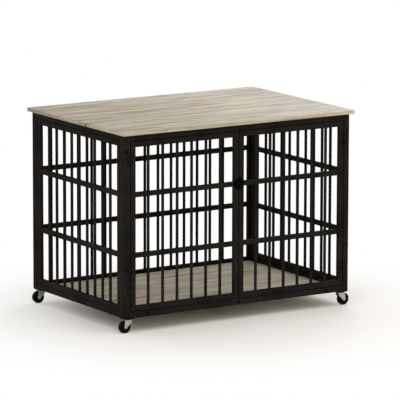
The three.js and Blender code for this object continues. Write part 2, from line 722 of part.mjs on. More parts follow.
const bracketX = frameLength / 2 - TUBE_DEPTH - SEAT;
crate.add(
  part('floor_bracket_left', floorBracket(), FINISHES.frameSteel, [-bracketX, 0, frameFoot], Math.PI),
  part('floor_bracket_right', floorBracket(), FINISHES.frameSteel, [bracketX, 0, frameFoot]),
);

for (const [side, sign] of [['left', -1], ['right', 1]]) {
  for (const [level, z] of Object.entries(boltLevels)) {
    crate.add(boltMesh(`post_bolt_front_${side}_${level}`, postBoltShank, sign * sideMiddleX, z, -1));
    crate.add(boltMesh(`post_bolt_back_${side}_${level}`, postBoltShank, sign * sideMiddleX, z, 1));
  }
  crate.add(part(`${side}_door`, door(), FINISHES.frameSteel, [sign * doorMiddleX, -endMiddleY, doorFoot]));
  for (const [level, z] of Object.entries(hingeLevels)) {
    const place = [sign * hingeAxisX, hingeAxisY, z];
    const hinge = `${side}_${level}_hinge`;
    crate.add(
      part(`${hinge}_post_leaf`, hingeLeaf(sign, [0, 2]), FINISHES.frameSteel, place),
      part(`${hinge}_door_leaf`, hingeLeaf(-sign, [1]), FINISHES.frameSteel, place),
      part(`${hinge}_pin`, hingePin(), FINISHES.frameSteel, place),
    );
  }
}

const latchPlace = [0, frontFace - SEAT, latchLevel];
crate.add(
  part('latch_body', latchBody(), FINISHES.latchSteel, latchPlace),
  part('latch_bolt', latchBolt(), FINISHES.latchSteel, latchPlace),
  part('latch_keeper', latchKeeper(), FINISHES.latchSteel, latchPlace),
);

const casterX = frameLength / 2 - CASTER_PLATE / 2;
const casterY = frameDepth / 2 - CASTER_PLATE / 2;
for (const [end, signY] of [['front', -1], ['back', 1]]) {
  for (const [side, signX] of [['left', -1], ['right', 1]]) {
    const corner = `${end}_${side}`;
    const caster = new THREE.Group();
    caster.position.set(signX * casterX, signY * casterY, 0);
    caster.rotation.z = signX < 0 ? Math.PI : 0;
    const axlePlace = [FORK_TRAIL, 0, WHEEL_RADIUS];
    caster.add(
      part(`caster_plate_${corner}`, casterPlate(), FINISHES.zinc),
      part(`caster_fork_${corner}`, casterFork(), FINISHES.zinc),
      part(`caster_wheel_${corner}`, casterWheel(), FINISHES.tread, axlePlace),
      part(`caster_axle_${corner}`, casterAxle(), FINISHES.zinc, axlePlace),
    );
    crate.add(caster);
  }
}

export default crate;
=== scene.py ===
"""Dog crate end table: tube frames with mitred corners and weld beads, grey oak boards, hinges, latch,
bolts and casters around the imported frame. Lengths in the settings are real sizes; everything is in metres."""

import json
import math

import bmesh
import bpy
from bpy.props import FloatProperty, FloatVectorProperty, IntProperty, PointerProperty
from mathutils import Matrix, Vector


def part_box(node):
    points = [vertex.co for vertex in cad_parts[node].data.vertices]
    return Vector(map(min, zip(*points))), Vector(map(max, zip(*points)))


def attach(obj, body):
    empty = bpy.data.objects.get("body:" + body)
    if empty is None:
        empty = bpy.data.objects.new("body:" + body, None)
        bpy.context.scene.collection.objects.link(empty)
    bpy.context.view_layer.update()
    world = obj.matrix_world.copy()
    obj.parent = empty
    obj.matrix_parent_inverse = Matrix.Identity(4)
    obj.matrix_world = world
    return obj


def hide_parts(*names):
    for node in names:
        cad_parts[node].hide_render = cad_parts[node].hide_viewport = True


bl_info = {
    "name": "Dog crate end table",
    "version": (1, 0, 0),
    "blender": (4, 5, 0),
    "location": "3D View > Sidebar > Crate table",
    "description": "Finishes the crate table's frames, boards, hinges, latch and casters",
    "category": "Object",
}

MM = 0.001
SIDES = ("left", "right")
ENDS = ("front", "back")
LEVELS = ("upper", "lower")

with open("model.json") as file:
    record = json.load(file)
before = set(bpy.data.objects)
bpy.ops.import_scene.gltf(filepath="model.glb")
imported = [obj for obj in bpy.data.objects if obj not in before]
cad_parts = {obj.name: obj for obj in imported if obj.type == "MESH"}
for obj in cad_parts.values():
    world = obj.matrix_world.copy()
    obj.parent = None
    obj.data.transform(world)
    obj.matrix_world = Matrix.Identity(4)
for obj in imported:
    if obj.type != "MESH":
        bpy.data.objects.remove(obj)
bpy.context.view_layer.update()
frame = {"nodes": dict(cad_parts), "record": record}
NODES = frame["nodes"]


# ------------------------------------------------------------------ settings


def hex_to_linear(code):
    """Linear colour of an sRGB hex value such as "#24201d"."""
    channels = [int(code[i:i + 2], 16) / 255 for i in (1, 3, 5)]
    return [c / 12.92 if c <= 0.04045 else ((c + 0.055) / 1.055) ** 2.4 for c in channels]


def length_setting(name, millimetres, description):
    return FloatProperty(name=name, default=millimetres * MM, unit="LENGTH", description=description)


def colour_setting(name, code, description):
    return FloatVectorProperty(name=name, size=3, subtype="COLOR", min=0, max=1,
                               default=hex_to_linear(code), description=description)


class CrateSizes(bpy.types.PropertyGroup):
    tube_face: length_setting("Frame tube face", 25, "Width of the outer frames' tube as seen from outside")
    inner_face: length_setting("Door tube face", 23, "Width of the doors' and inner side frames' tube")
    tube_round: length_setting("Tube corner", 1.7, "Radius of the tubes' long corners")
    seam_round: length_setting("Seam corner", 3, "Radius of the side panels' tubes, which meet in a seam")
    mitre_depth: length_setting("Mitre groove", 0.2, "Depth of the ground weld line at a mitre")
    rail_height: length_setting("Rail height", 20, "Height of the level rails")
    lower_rail: length_setting("Lower rail", 242, "Lower rail's underside above the frame's foot")
    upper_rail: length_setting("Upper rail", 485, "Upper rail's underside above the frame's foot")
    bar_diameter: length_setting("Bar diameter", 12, "Diameter of the upright bars")
    side_end_gap: length_setting("Side end gap", 55, "From a side panel's inner frame to its nearest bar")
    weld_bead: length_setting("Weld bead", 1.1, "How far a weld bead stands out from a bar")
    board_round: length_setting("Board edge", 1.2, "Radius of the boards' long edges")
    board_corner: length_setting("Board corner", 4, "Radius of the table top's upright corners")
    joint_gap: length_setting("Board joint", 1.4, "Gap between the table top's two boards")
    joint_corner: length_setting("Joint corner", 4.5, "Radius of the boards' upright corners at their joint")
    bolt_head: length_setting("Bolt head", 6, "Radius of a bolt's head")
    screw_head: length_setting("Screw head", 3.1, "Radius of a hinge or plate screw's head")


class CrateColours(bpy.types.PropertyGroup):
    powder: colour_setting("Powder coat", "#201c19", "Matt brown-black powder coat on the steel")
    board_light: colour_setting("Board, light", "#c4bba8", "Washed oak between the grain lines")
    board_mid: colour_setting("Board, middle", "#aca190", "Washed oak, common tone")
    board_dark: colour_setting("Board, dark", "#81776a", "Washed oak along the grain lines")
    board_edge: colour_setting("Board edge band", "#a8a38f", "Paper edge band, a little greener")
    zinc: colour_setting("Zinc", "#b4b1ac", "Bright zinc plate on the casters")
    tread: colour_setting("Tread", "#050505", "Black caster tread")
    fitting: colour_setting("Fitting", "#060605", "Black bolts and latch")


class CrateStage(bpy.types.PropertyGroup):
    camera_yaw: FloatProperty(name="Camera yaw", default=math.radians(-32.414), subtype="ANGLE",
                              description="Camera's heading about the crate, from the front")
    camera_pitch: FloatProperty(name="Camera pitch", default=math.radians(10.29), subtype="ANGLE",
                                description="How far the camera looks down")
    camera_roll: FloatProperty(name="Camera roll", default=math.radians(0.136), subtype="ANGLE",
                               description="Camera's lean about its own line of sight")
    camera_distance: FloatProperty(name="Camera distance", default=15.447, unit="LENGTH",
                                   description="From the camera to the middle of the frame's foot")
    camera_aim_x: FloatProperty(name="Aim, sideways", default=-0.0399, unit="LENGTH",
                                description="Place of the frame's foot to the right of the line of sight")
    camera_aim_y: FloatProperty(name="Aim, upwards", default=-0.3666, unit="LENGTH",
                                description="Place of the frame's foot above the line of sight")
    camera_lens: FloatProperty(name="Lens", default=338.5, subtype="DISTANCE_CAMERA",
                               description="Focal length on a 36 mm wide sensor, in millimetres")
    floor_colour: colour_setting("Floor", "#faf7f3", "Warm pale studio floor")
    key_power: FloatProperty(name="Key light", default=44, description="Power of the large light above, in watts")
    fill_power: FloatProperty(name="Fill light", default=12, description="Power of the front light, in watts")
    rim_power: FloatProperty(name="Back light", default=22, description="Power of the light behind, in watts")
    world_strength: FloatProperty(name="Sky", default=0.74, description="Strength of the even light all round")


def sizes():
    return bpy.context.scene.crate_sizes


def colours():
    return bpy.context.scene.crate_colours


def stage():
    return bpy.context.scene.crate_stage


# ------------------------------------------------------------------ material helpers


def add_node(tree, kind, settings=None, links=None, at=None):
    """Adds a node. settings sets attributes or, by socket name, input values; links joins inputs to sockets."""
    node = tree.nodes.new(kind)
    for name, value in (settings or {}).items():
        if isinstance(name, int) or name in node.inputs:
            node.inputs[name].default_value = value
        else:
            setattr(node, name, value)
    for name, socket in (links or {}).items():
        tree.links.new(socket, node.inputs[name])
    if at:
        node.location = at
    return node


def rgba(colour):
    return (*colour, 1.0)


def new_material(name):
    """A material with an empty principled shader; returns the material, its tree and its shader."""
    material = bpy.data.materials.new(name)
    material.use_nodes = True
    tree = material.node_tree
    tree.nodes.clear()
    output = add_node(tree, "ShaderNodeOutputMaterial")
    shader = add_node(tree, "ShaderNodeBsdfPrincipled")
    tree.links.new(shader.outputs["BSDF"], output.inputs["Surface"])
    return material, tree, shader


def object_coordinates(tree, scale=(1, 1, 1), offset=(0, 0, 0)):
    """Object coordinates in metres, scaled per axis."""
    coordinates = add_node(tree, "ShaderNodeTexCoord")
    mapping = add_node(tree, "ShaderNodeMapping", {"Scale": scale, "Location": offset},
                       {"Vector": coordinates.outputs["Object"]})
    return mapping.outputs["Vector"]


def ramp(tree, source, stops):
    """Colour ramp over (position, colour) stops."""
    node = add_node(tree, "ShaderNodeValToRGB", links={"Fac": source})
    elements = node.color_ramp.elements
    while len(elements) < len(stops):
        elements.new(0.5)
    for element, (position, colour) in zip(elements, stops):
        element.position = position
        element.color = rgba(colour)
    return node.outputs["Color"]


def grey(value):
    return (value, value, value)


def mix_colour(tree, factor, a, b, blend="MIX"):
    """Mixes two colours, each a socket or a colour."""
    node = add_node(tree, "ShaderNodeMix", {"data_type": "RGBA", "blend_type": blend})
    for index, value in ((0, factor), (6, a), (7, b)):
        if isinstance(value, bpy.types.NodeSocket):
            tree.links.new(value, node.inputs[index])
        else:
            node.inputs[index].default_value = value if index == 0 else rgba(value)
    return node.outputs[2]


# ------------------------------------------------------------------ materials


def powder_coat():
    """Polyester powder coat on steel: matt, with the fine orange peel that baked powder leaves."""
    material, tree, shader = new_material("fine_texture_powder_coat_on_steel")
    base = colours().powder
    cloud = add_node(tree, "ShaderNodeTexNoise", {"Scale": 9.0, "Detail": 3.0, "Roughness": 0.6},
                     {"Vector": object_coordinates(tree)})
    lighter = [c * 1.35 + 0.001 for c in base]
    darker = [c * 0.78 for c in base]
    coat = ramp(tree, cloud.outputs["Fac"], [(0.35, darker), (0.7, lighter)])
    # painted shade: seams, gaps and corners are darkened within 9 mm where other surfaces are near, which draws a dark
    # line
    seam = add_node(tree, "ShaderNodeAmbientOcclusion", {"samples": 12, "Distance": 9 * MM})
    depth = ramp(tree, seam.outputs["AO"], [(0.5, grey(0.12)), (0.92, grey(1.0))])
    tree.links.new(mix_colour(tree, 1.0, coat, depth, "MULTIPLY"), shader.inputs["Base Color"])
    # real orange peel is about 0.6 mm across; drawn at 1.6 mm so that it shows
    peel = add_node(tree, "ShaderNodeTexNoise", {"Scale": 1 / (1.6 * MM), "Detail": 2.0},
                    {"Vector": object_coordinates(tree)})
    rough = ramp(tree, peel.outputs["Fac"], [(0.3, grey(0.5)), (0.7, grey(0.64))])
    tree.links.new(rough, shader.inputs["Roughness"])
    bump = add_node(tree, "ShaderNodeBump", {"Strength": 0.05, "Distance": 0.12 * MM},
                    {"Height": peel.outputs["Fac"]})
    tree.links.new(bump.outputs["Normal"], shader.inputs["Normal"])
    shader.inputs["IOR"].default_value = 1.5
    shader.inputs["Specular IOR Level"].default_value = 0.015
    return material


def washed_oak(name, grain, tint=(1, 1, 1), offset=0.0, contrast=1.0):
    """Melamine board printed as grey-washed oak: long grain, darker pore streaks, satin lacquer.

    grain says across which axes the figure is drawn narrow: (1, 14, 14) runs along X."""
    material, tree, shader = new_material(name)
    palette = colours()
    wander = add_node(tree, "ShaderNodeTexNoise", {"Scale": 2.6, "Detail": 3.0},
                      {"Vector": object_coordinates(tree, (1, 2.2, 2.2), (offset, offset, 0))})
    shift = add_node(tree, "ShaderNodeVectorMath", {"operation": "SCALE", "Scale": 0.035},
                     {"Vector": wander.outputs["Color"]})
    coordinates = add_node(tree, "ShaderNodeTexCoord")
    moved = add_node(tree, "ShaderNodeVectorMath", {"operation": "ADD"},
                     {0: coordinates.outputs["Object"], 1: shift.outputs["Vector"]})
    stretched = add_node(tree, "ShaderNodeMapping", {"Scale": grain, "Location": (offset, offset, 0)},
                         {"Vector": moved.outputs["Vector"]})
    # growth bands about 25 mm wide, long streaks and fine pores about 1 mm wide
    bands = add_node(tree, "ShaderNodeTexNoise", {"Scale": 2.4, "Detail": 4.0, "Roughness": 0.62},
                     {"Vector": stretched.outputs["Vector"]})
    streaks = add_node(tree, "ShaderNodeTexNoise", {"Scale": 11.0, "Detail": 5.0, "Roughness": 0.7},
                       {"Vector": stretched.outputs["Vector"]})
    pore_map = add_node(tree, "ShaderNodeMapping", {"Scale": [0.55 if width == 1 else 4.0 for width in grain]},
                        {"Vector": stretched.outputs["Vector"]})
    pores = add_node(tree, "ShaderNodeTexNoise", {"Scale": 17.0, "Detail": 3.0, "Roughness": 0.6},
                     {"Vector": pore_map.outputs["Vector"]})
    tone = ramp(tree, bands.outputs["Fac"], [(0.33, palette.board_dark), (0.47, palette.board_mid),
                                             (0.64, palette.board_light)])
    streak_tone = ramp(tree, streaks.outputs["Fac"], [(0.36, grey(0.62)), (0.5, grey(0.93)), (0.66, grey(1.12))])
    pore_tone = ramp(tree, pores.outputs["Fac"], [(0.34, grey(0.66)), (0.46, grey(1.0))])
    streaked = mix_colour(tree, 0.8 * contrast, tone, streak_tone, "MULTIPLY")
    pored = mix_colour(tree, 0.55 * contrast, streaked, pore_tone, "MULTIPLY")
    # printed oak drifts between a pinkish and a greenish grey over some 80 mm
    drift = add_node(tree, "ShaderNodeTexNoise", {"Scale": 3.4, "Detail": 2.0},
                     {"Vector": object_coordinates(tree, (1, 4.2, 4.2), (offset, 0, 0))})
    hue = ramp(tree, drift.outputs["Fac"], [(0.36, (1.035, 0.99, 0.955)), (0.64, (0.98, 1.007, 0.975))])
    drifted = mix_colour(tree, 1.0, pored, hue, "MULTIPLY")
    tinted = mix_colour(tree, 1.0, drifted, tint, "MULTIPLY")
    # painted shade: narrow joints, and the floor board's rim beside the tubes, are darkened within 14 mm where other
    # surfaces are near
    joint = add_node(tree, "ShaderNodeAmbientOcclusion", {"samples": 12, "Distance": 14 * MM})
    painted_contact_shade = ramp(tree, joint.outputs["AO"], [(0.45, grey(0.12)), (0.85, grey(1.0))])
    tree.links.new(mix_colour(tree, 1.0, tinted, painted_contact_shade, "MULTIPLY"), shader.inputs["Base Color"])
    rough = ramp(tree, streaks.outputs["Fac"], [(0.35, grey(0.58)), (0.65, grey(0.44))])
    tree.links.new(rough, shader.inputs["Roughness"])
    bump = add_node(tree, "ShaderNodeBump", {"Strength": 0.25, "Distance": 0.15 * MM},
                    {"Height": pores.outputs["Fac"]})
    tree.links.new(bump.outputs["Normal"], shader.inputs["Normal"])
    shader.inputs["IOR"].default_value = 1.5
    shader.inputs["Specular IOR Level"].default_value = 0.27
    return material


def zinc_plate():
    """Bright zinc on stamped steel: metallic, slightly cloudy from the plating bath."""
    material, tree, shader = new_material("bright_zinc_plated_steel")
    base = colours().zinc
    cloud = add_node(tree, "ShaderNodeTexNoise", {"Scale": 120.0, "Detail": 3.0},
                     {"Vector": object_coordinates(tree)})
    tree.links.new(ramp(tree, cloud.outputs["Fac"], [(0.35, [c * 0.8 for c in base]), (0.65, base)]),
                   shader.inputs["Base Color"])
    tree.links.new(ramp(tree, cloud.outputs["Fac"], [(0.3, grey(0.42)), (0.7, grey(0.27))]),
                   shader.inputs["Roughness"])
    shader.inputs["Metallic"].default_value = 0.85
    return material


def black_tread():
    """Thermoplastic rubber tread: near black, satin, with moulding speckle."""
    material, tree, shader = new_material("black_thermoplastic_rubber")
    base = colours().tread
    speck = add_node(tree, "ShaderNodeTexNoise", {"Scale": 1 / (0.9 * MM), "Detail": 2.0},
                     {"Vector": object_coordinates(tree)})
    tree.links.new(ramp(tree, speck.outputs["Fac"], [(0.35, [c * 0.7 for c in base]), (0.7, [c * 1.5 for c in base])]),
                   shader.inputs["Base Color"])
    tree.links.new(ramp(tree, speck.outputs["Fac"], [(0.3, grey(0.3)), (0.7, grey(0.42))]),
                   shader.inputs["Roughness"])
    shader.inputs["Specular IOR Level"].default_value = 0.05
    return material


def wheel_core():
    """Glass-filled nylon wheel body: dark grey with a slight sheen."""
    material, tree, shader = new_material("dark_nylon_wheel_core")
    cloud = add_node(tree, "ShaderNodeTexNoise", {"Scale": 160.0, "Detail": 2.0},
                     {"Vector": object_coordinates(tree)})
    dark, light = hex_to_linear("#060606"), hex_to_linear("#0d0d0d")
    tree.links.new(ramp(tree, cloud.outputs["Fac"], [(0.35, dark), (0.7, light)]), shader.inputs["Base Color"])
    shader.inputs["Roughness"].default_value = 0.32
    shader.inputs["Specular IOR Level"].default_value = 0.06
    return material


def black_fitting():
    """Black oxide on turned and pressed steel: darker and a little glossier than the powder coat."""
    material, tree, shader = new_material("black_oxide_steel")
    base = colours().fitting
    wear = add_node(tree, "ShaderNodeTexNoise", {"Scale": 260.0, "Detail": 4.0},
                    {"Vector": object_coordinates(tree)})
    tree.links.new(ramp(tree, wear.outputs["Fac"], [(0.4, [c * 0.8 for c in base]), (0.75, [c * 1.7 for c in base])]),
                   shader.inputs["Base Color"])
    tree.links.new(ramp(tree, wear.outputs["Fac"], [(0.3, grey(0.28)), (0.7, grey(0.42))]),
                   shader.inputs["Roughness"])
    shader.inputs["Specular IOR Level"].default_value = 0.02
    return material


MATERIAL_MAKERS = {
    "powder": powder_coat,
    "zinc": zinc_plate,
    "tread": black_tread,
    "core": wheel_core,
    "fitting": black_fitting,
    "top": lambda: washed_oak("grey_washed_oak_melamine_top", (1, 14, 14), (0.925, 0.915, 0.905)),
    "edge": lambda: washed_oak("grey_washed_oak_edge_band", (1, 1, 14), (0.96, 0.965, 0.935), 3.1, 0.45),
    # joint faces: a near-black edge, dark partly as a real unbanded edge and partly as painted shade of the gap between
    # the boards
    "joint": lambda: washed_oak("dark_joint_edge_painted_gap_shade", (1, 1, 14), (0.1, 0.09, 0.08), 5.3, 0.45),
    "floor": lambda: washed_oak("grey_washed_oak_melamine_floor", (1, 14, 14), (1.06, 1.065, 1.035), 7.7, 1.2),
}
MATERIALS = {}


def material(key):
    """The finish with that key, made once."""
    if key not in MATERIALS:
        MATERIALS[key] = MATERIAL_MAKERS[key]()
    return MATERIALS[key]


# ------------------------------------------------------------------ mesh helpers


def rounded_section(width, height, radius, steps=4):
    """Points of a rounded rectangle around the origin, counter-clockwise."""
    points = []
    for turn, (sx, sy) in enumerate(((1, -1), (1, 1), (-1, 1), (-1, -1))):
        cx, cy = sx * (width / 2 - radius), sy * (height / 2 - radius)
        for step in range(steps + 1):
            angle = math.radians(-90 + 90 * turn + 90 * step / steps)
            points.append((cx + radius * math.cos(angle), cy + radius * math.sin(angle)))
    return points


def circle(radius, sides, start=0.0):
    angles = [start + 2 * math.pi * k / sides for k in range(sides)]
    return [(radius * math.cos(a), radius * math.sin(a)) for a in angles]


def skin(mesh, loops, closed=False, caps=True):
    """Joins loops of points with quads. closed joins the last loop to the first; caps closes the ends."""
    rows = [[mesh.verts.new(p) for p in loop] for loop in loops]
    pairs = list(zip(rows, rows[1:])) + ([(rows[-1], rows[0])] if closed else [])
    faces = []
    for low, high in pairs:
        count = len(low)
        for k in range(count):
            after = (k + 1) % count
            faces.append(mesh.faces.new((low[k], low[after], high[after], high[k])))
    if caps and not closed:
        faces.append(mesh.faces.new(rows[0][::-1]))
        faces.append(mesh.faces.new(rows[-1]))
    return faces


def lathe(mesh, profile, sides, place=Matrix.Identity(4)):
    """Turns (radius, height) points about Z. A profile that starts and ends on the axis is closed there."""
    inner = [(r, z) for r, z in profile if r > 1e-7]
    rows = [[mesh.verts.new(place @ Vector((x, y, z))) for x, y in circle(r, sides)] for r, z in inner]
    faces = []
    for low, high in zip(rows, rows[1:]):
        for k in range(sides):
            after = (k + 1) % sides
            faces.append(mesh.faces.new((low[k], low[after], high[after], high[k])))
    for row, point, flip in ((rows[0], profile[0], True), (rows[-1], profile[-1], False)):
        if point[0] <= 1e-7:
            faces.append(mesh.faces.new(row[::-1] if flip else row))
    return faces


def ring_lathe(mesh, profile, sides, place=Matrix.Identity(4)):
    """Turns a closed (radius, height) profile about Z into a ring."""
    rows = [[mesh.verts.new(place @ Vector((x, y, z))) for x, y in circle(r, sides)] for r, z in profile]
    faces = []
    for low, high in zip(rows, rows[1:] + rows[:1]):
        for k in range(sides):
            after = (k + 1) % sides
            faces.append(mesh.faces.new((low[k], low[after], high[after], high[k])))
    return faces


def finish_object(name, mesh, materials, smooth_angle=32):
    """Makes the object of a bmesh: merged, facing outwards, smooth but for its sharp edges."""
    bmesh.ops.remove_doubles(mesh, verts=mesh.verts, dist=1e-7)
    bmesh.ops.recalc_face_normals(mesh, faces=mesh.faces)
    data = bpy.data.meshes.new(name)
    mesh.to_mesh(data)
    mesh.free()
    for key in materials:
        data.materials.append(material(key))
    return link_object(name, data, smooth_angle)


def link_object(name, data, smooth_angle=32):
    data.polygons.foreach_set("use_smooth", [True] * len(data.polygons))
    data.set_sharp_from_angle(angle=math.radians(smooth_angle))
    data.update()
    made = bpy.data.objects.new(name, data)
    bpy.context.scene.collection.objects.link(made)
    return made


def box_of(node):
    """A CAD node's lowest corner, highest corner and middle."""
    low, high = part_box(node)
    return low, high, (low + high) / 2


def place_piece(piece, body, slot, *replaced):
    """Says what a finished piece rides on and stands for; slot is not used."""
    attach(piece, body)
    if replaced:
        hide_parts(*replaced)
    return piece


# ------------------------------------------------------------------ Geometry Nodes


def new_tree(name, inputs):
    """A Geometry Nodes tree with the given (name, socket type, default) inputs; returns tree, input, output."""
    tree = bpy.data.node_groups.new(name, "GeometryNodeTree")
    tree.interface.new_socket("Geometry", in_out="INPUT", socket_type="NodeSocketGeometry")
    for label, kind, default in inputs:
        socket = tree.interface.new_socket(label, in_out="INPUT", socket_type=kind)
        if default is not None:
            socket.default_value = default
    tree.interface.new_socket("Geometry", in_out="OUTPUT", socket_type="NodeSocketGeometry")
    return tree, add_node(tree, "NodeGroupInput"), add_node(tree, "NodeGroupOutput")


def close_tree(tree, source, geometry, output, material_socket):
    """Realize Instances and Set Material, which every tree ends in."""
    real = add_node(tree, "GeometryNodeRealizeInstances", links={"Geometry": geometry})
    dressed = add_node(tree, "GeometryNodeSetMaterial",
                       links={"Geometry": real.outputs["Geometry"], "Material": source.outputs[material_socket]})
    tree.links.new(dressed.outputs["Geometry"], output.inputs["Geometry"])


def bar_tree():
    """Edges become round bars, and each vertex gets a weld bead round its bar."""
    tree, source, output = new_tree("Round bars with weld beads", [
        ("Bar radius", "NodeSocketFloat", 6 * MM), ("Bead", "NodeSocketFloat", 1.1 * MM),
        ("Sides", "NodeSocketInt", 40), ("Finish", "NodeSocketMaterial", None)])
    line = add_node(tree, "GeometryNodeMeshToCurve", links={"Mesh": source.outputs["Geometry"]})
    section = add_node(tree, "GeometryNodeCurvePrimitiveCircle",
                       links={"Radius": source.outputs["Bar radius"], "Resolution": source.outputs["Sides"]})
    bars = add_node(tree, "GeometryNodeCurveToMesh", {"Fill Caps": True},
                    {"Curve": line.outputs["Curve"], "Profile Curve": section.outputs["Curve"]})
    # a bead is a squat round cone pair: widest where it meets the rail
    bead_radius = add_node(tree, "ShaderNodeMath", {"operation": "ADD"},
                           {0: source.outputs["Bar radius"], 1: source.outputs["Bead"]})
    flare = add_node(tree, "ShaderNodeMath", {"operation": "MULTIPLY", 1: 2.6}, {0: source.outputs["Bead"]})
    cylinder = add_node(tree, "GeometryNodeMeshCylinder", {"Side Segments": 1},
                        {"Vertices": source.outputs["Sides"], "Radius": bead_radius.outputs[0],
                         "Depth": flare.outputs[0]})
    beads = add_node(tree, "GeometryNodeInstanceOnPoints",
                     links={"Points": source.outputs["Geometry"], "Instance": cylinder.outputs["Mesh"]})
    joined = add_node(tree, "GeometryNodeJoinGeometry")
    tree.links.new(bars.outputs["Mesh"], joined.inputs["Geometry"])
    tree.links.new(beads.outputs["Instances"], joined.inputs["Geometry"])
    close_tree(tree, source, joined.outputs["Geometry"], output, "Finish")
    return tree


def fastener_tree():
    """A head at each point, with its own axis turned to the point's facing attribute."""
    tree, source, output = new_tree("Fasteners on points", [
        ("Head", "NodeSocketObject", None), ("Size", "NodeSocketFloat", 1.0), ("Turn seed", "NodeSocketInt", 4),
        ("Finish", "NodeSocketMaterial", None)])
    head = add_node(tree, "GeometryNodeObjectInfo", links={"Object": source.outputs["Head"]})
    facing = add_node(tree, "GeometryNodeInputNamedAttribute", {"data_type": "FLOAT_VECTOR", "Name": "facing"})
    aim = add_node(tree, "FunctionNodeAlignRotationToVector", {"axis": "Z"},
                   {"Vector": facing.outputs["Attribute"]})
    turn = add_node(tree, "FunctionNodeRandomValue", {"data_type": "FLOAT", "Max": 6.2},
                    {"Seed": source.outputs["Turn seed"]})
    twist = add_node(tree, "FunctionNodeAxisAngleToRotation", {"Axis": (0, 0, 1)}, {"Angle": turn.outputs[1]})
    both = add_node(tree, "FunctionNodeRotateRotation", {"rotation_space": "LOCAL"},
                    {"Rotation": aim.outputs["Rotation"], "Rotate By": twist.outputs["Rotation"]})
    heads = add_node(tree, "GeometryNodeInstanceOnPoints",
                     links={"Points": source.outputs["Geometry"], "Instance": head.outputs["Geometry"],
                            "Rotation": both.outputs["Rotation"], "Scale": source.outputs["Size"]})
    close_tree(tree, source, heads.outputs["Instances"], output, "Finish")
    return tree


TREES = {}


def tree_named(key, maker):
    if key not in TREES:
        TREES[key] = maker()
    return TREES[key]


def grown_mesh(name, data, tree, values):
    """The plain mesh that a Geometry Nodes tree makes of a base mesh, with its inputs set by name."""
    base = bpy.data.objects.new(name + "_base", data)
    bpy.context.scene.collection.objects.link(base)
    modifier = base.modifiers.new("grow", "NODES")
    modifier.node_group = tree
    identifiers = {item.name: item.identifier for item in tree.interface.items_tree if item.in_out == "INPUT"}
    for label, value in values.items():
        modifier[identifiers[label]] = value
    bpy.context.view_layer.update()
    graph = bpy.context.evaluated_depsgraph_get()
    made = bpy.data.meshes.new_from_object(base.evaluated_get(graph))
    base.modifiers.remove(modifier)
    bpy.data.objects.remove(base)
    return made


def points_mesh(name, points):
    """A mesh of loose vertices at (place, facing) pairs, with the facing kept as an attribute."""
    data = bpy.data.meshes.new(name)
    data.from_pydata([tuple(place) for place, _ in points], [], [])
    attribute = data.attributes.new("facing", "FLOAT_VECTOR", "POINT")
    for k, (_, facing) in enumerate(points):
        attribute.data[k].vector = facing
    return data


def fasteners(name, head, size, points, finish):
    """One plain mesh of heads at the points."""
    tree = tree_named("fasteners", fastener_tree)
    return grown_mesh(name, points_mesh(name, points), tree,
                      {"Head": head, "Size": size, "Turn seed": 4, "Finish": material(finish)})


def join_meshes(name, datas, smooth_angle=32):
    """One object of several meshes, keeping each one's materials."""
    finishes = []
    for data in datas:
        for slot in data.materials:
            if slot not in finishes:
                finishes.append(slot)
    whole = bmesh.new()
    for data in datas:
        part = bmesh.new()
        part.from_mesh(data)
        local = [finishes.index(slot) for slot in data.materials] or [0]
        for face in part.faces:
            face.material_index = local[min(face.material_index, len(local) - 1)]
        kept = bpy.data.meshes.new("kept")
        part.to_mesh(kept)
        part.free()
        whole.from_mesh(kept)
        bpy.data.meshes.remove(kept)
    joined = bpy.data.meshes.new(name)
    whole.to_mesh(joined)
    whole.free()
    for slot in finishes:
        joined.materials.append(slot)
    return link_object(name, joined, smooth_angle)


# ------------------------------------------------------------------ panels


def panel_plane(node):
    """Basis of a flat panel: its middle, its level direction, its width, and its lowest height and height."""
    low, high, middle = box_of(node)
    extent = high - low
    level = Vector((1, 0, 0)) if extent.x > extent.y else Vector((0, 1, 0))
    width = max(extent.x, extent.y)
    return Vector((middle.x, middle.y, low.z)), level, width, extent.z, min(extent.x, extent.y)


def mitred_ring(mesh, origin, level, width, height, face, depth, foot, corner):
    """A ring of tube with a ground weld line at each mitre. foot is how far the ring stands above origin, and
    corner is the radius of the tube's long corners."""
    through = level.cross(Vector((0, 0, 1)))
    section = rounded_section(face, depth, corner)
    groove = sizes().mitre_depth
    run = 0.9 * MM

    def spot(across, out, up):
        return origin + level * across + through * out + Vector((0, 0, up))

    loops = []
    corners = ((-1, 0), (1, 0), (1, 1), (-1, 1))
    for index, (sx, top) in enumerate(corners):
        before, after = corners[index - 1], corners[(index + 1) % 4]
        for kind in ("before", "mitre", "after"):
            loop = []
            for a, v in section:
                shrink = 1 - 2 * groove / min(face, depth) if kind == "mitre" else 1
                inwards = face / 2 + a * shrink
                out = v * shrink
                across = sx * (width / 2 - inwards)
                up = foot + (height - inwards if top else inwards)
                other = {"before": before, "after": after}.get(kind)
                if other:
                    if other[0] != sx:
                        across -= sx * run
                    else:
                        up += -run if top else run
                loop.append(spot(across, out, up))
            loops.append(loop)
    return skin(mesh, loops, closed=True)


def rail_tube(mesh, origin, level, length, height, depth, foot):
    """A level rail between two posts, with a weld fillet that flares at each end."""
    through = level.cross(Vector((0, 0, 1)))
    flare = sizes().weld_bead
    stations = [(-length / 2 - 0.5 * MM, flare), (-length / 2 + 0.4 * MM, flare), (-length / 2 + 1.1 * MM, 0.35 * flare),
                (-length / 2 + 2.2 * MM, 0.0)]
    stations += [(-x, extra) for x, extra in reversed(stations)]
    loops = []
    for x, extra in stations:
        section = rounded_section(height + 2 * extra, depth + 2 * min(extra, 0.25 * MM), sizes().tube_round + extra / 2)
        loops.append([origin + level * x + Vector((0, 0, foot + height / 2 + a)) + through * v for a, v in section])
    return skin(mesh, loops)


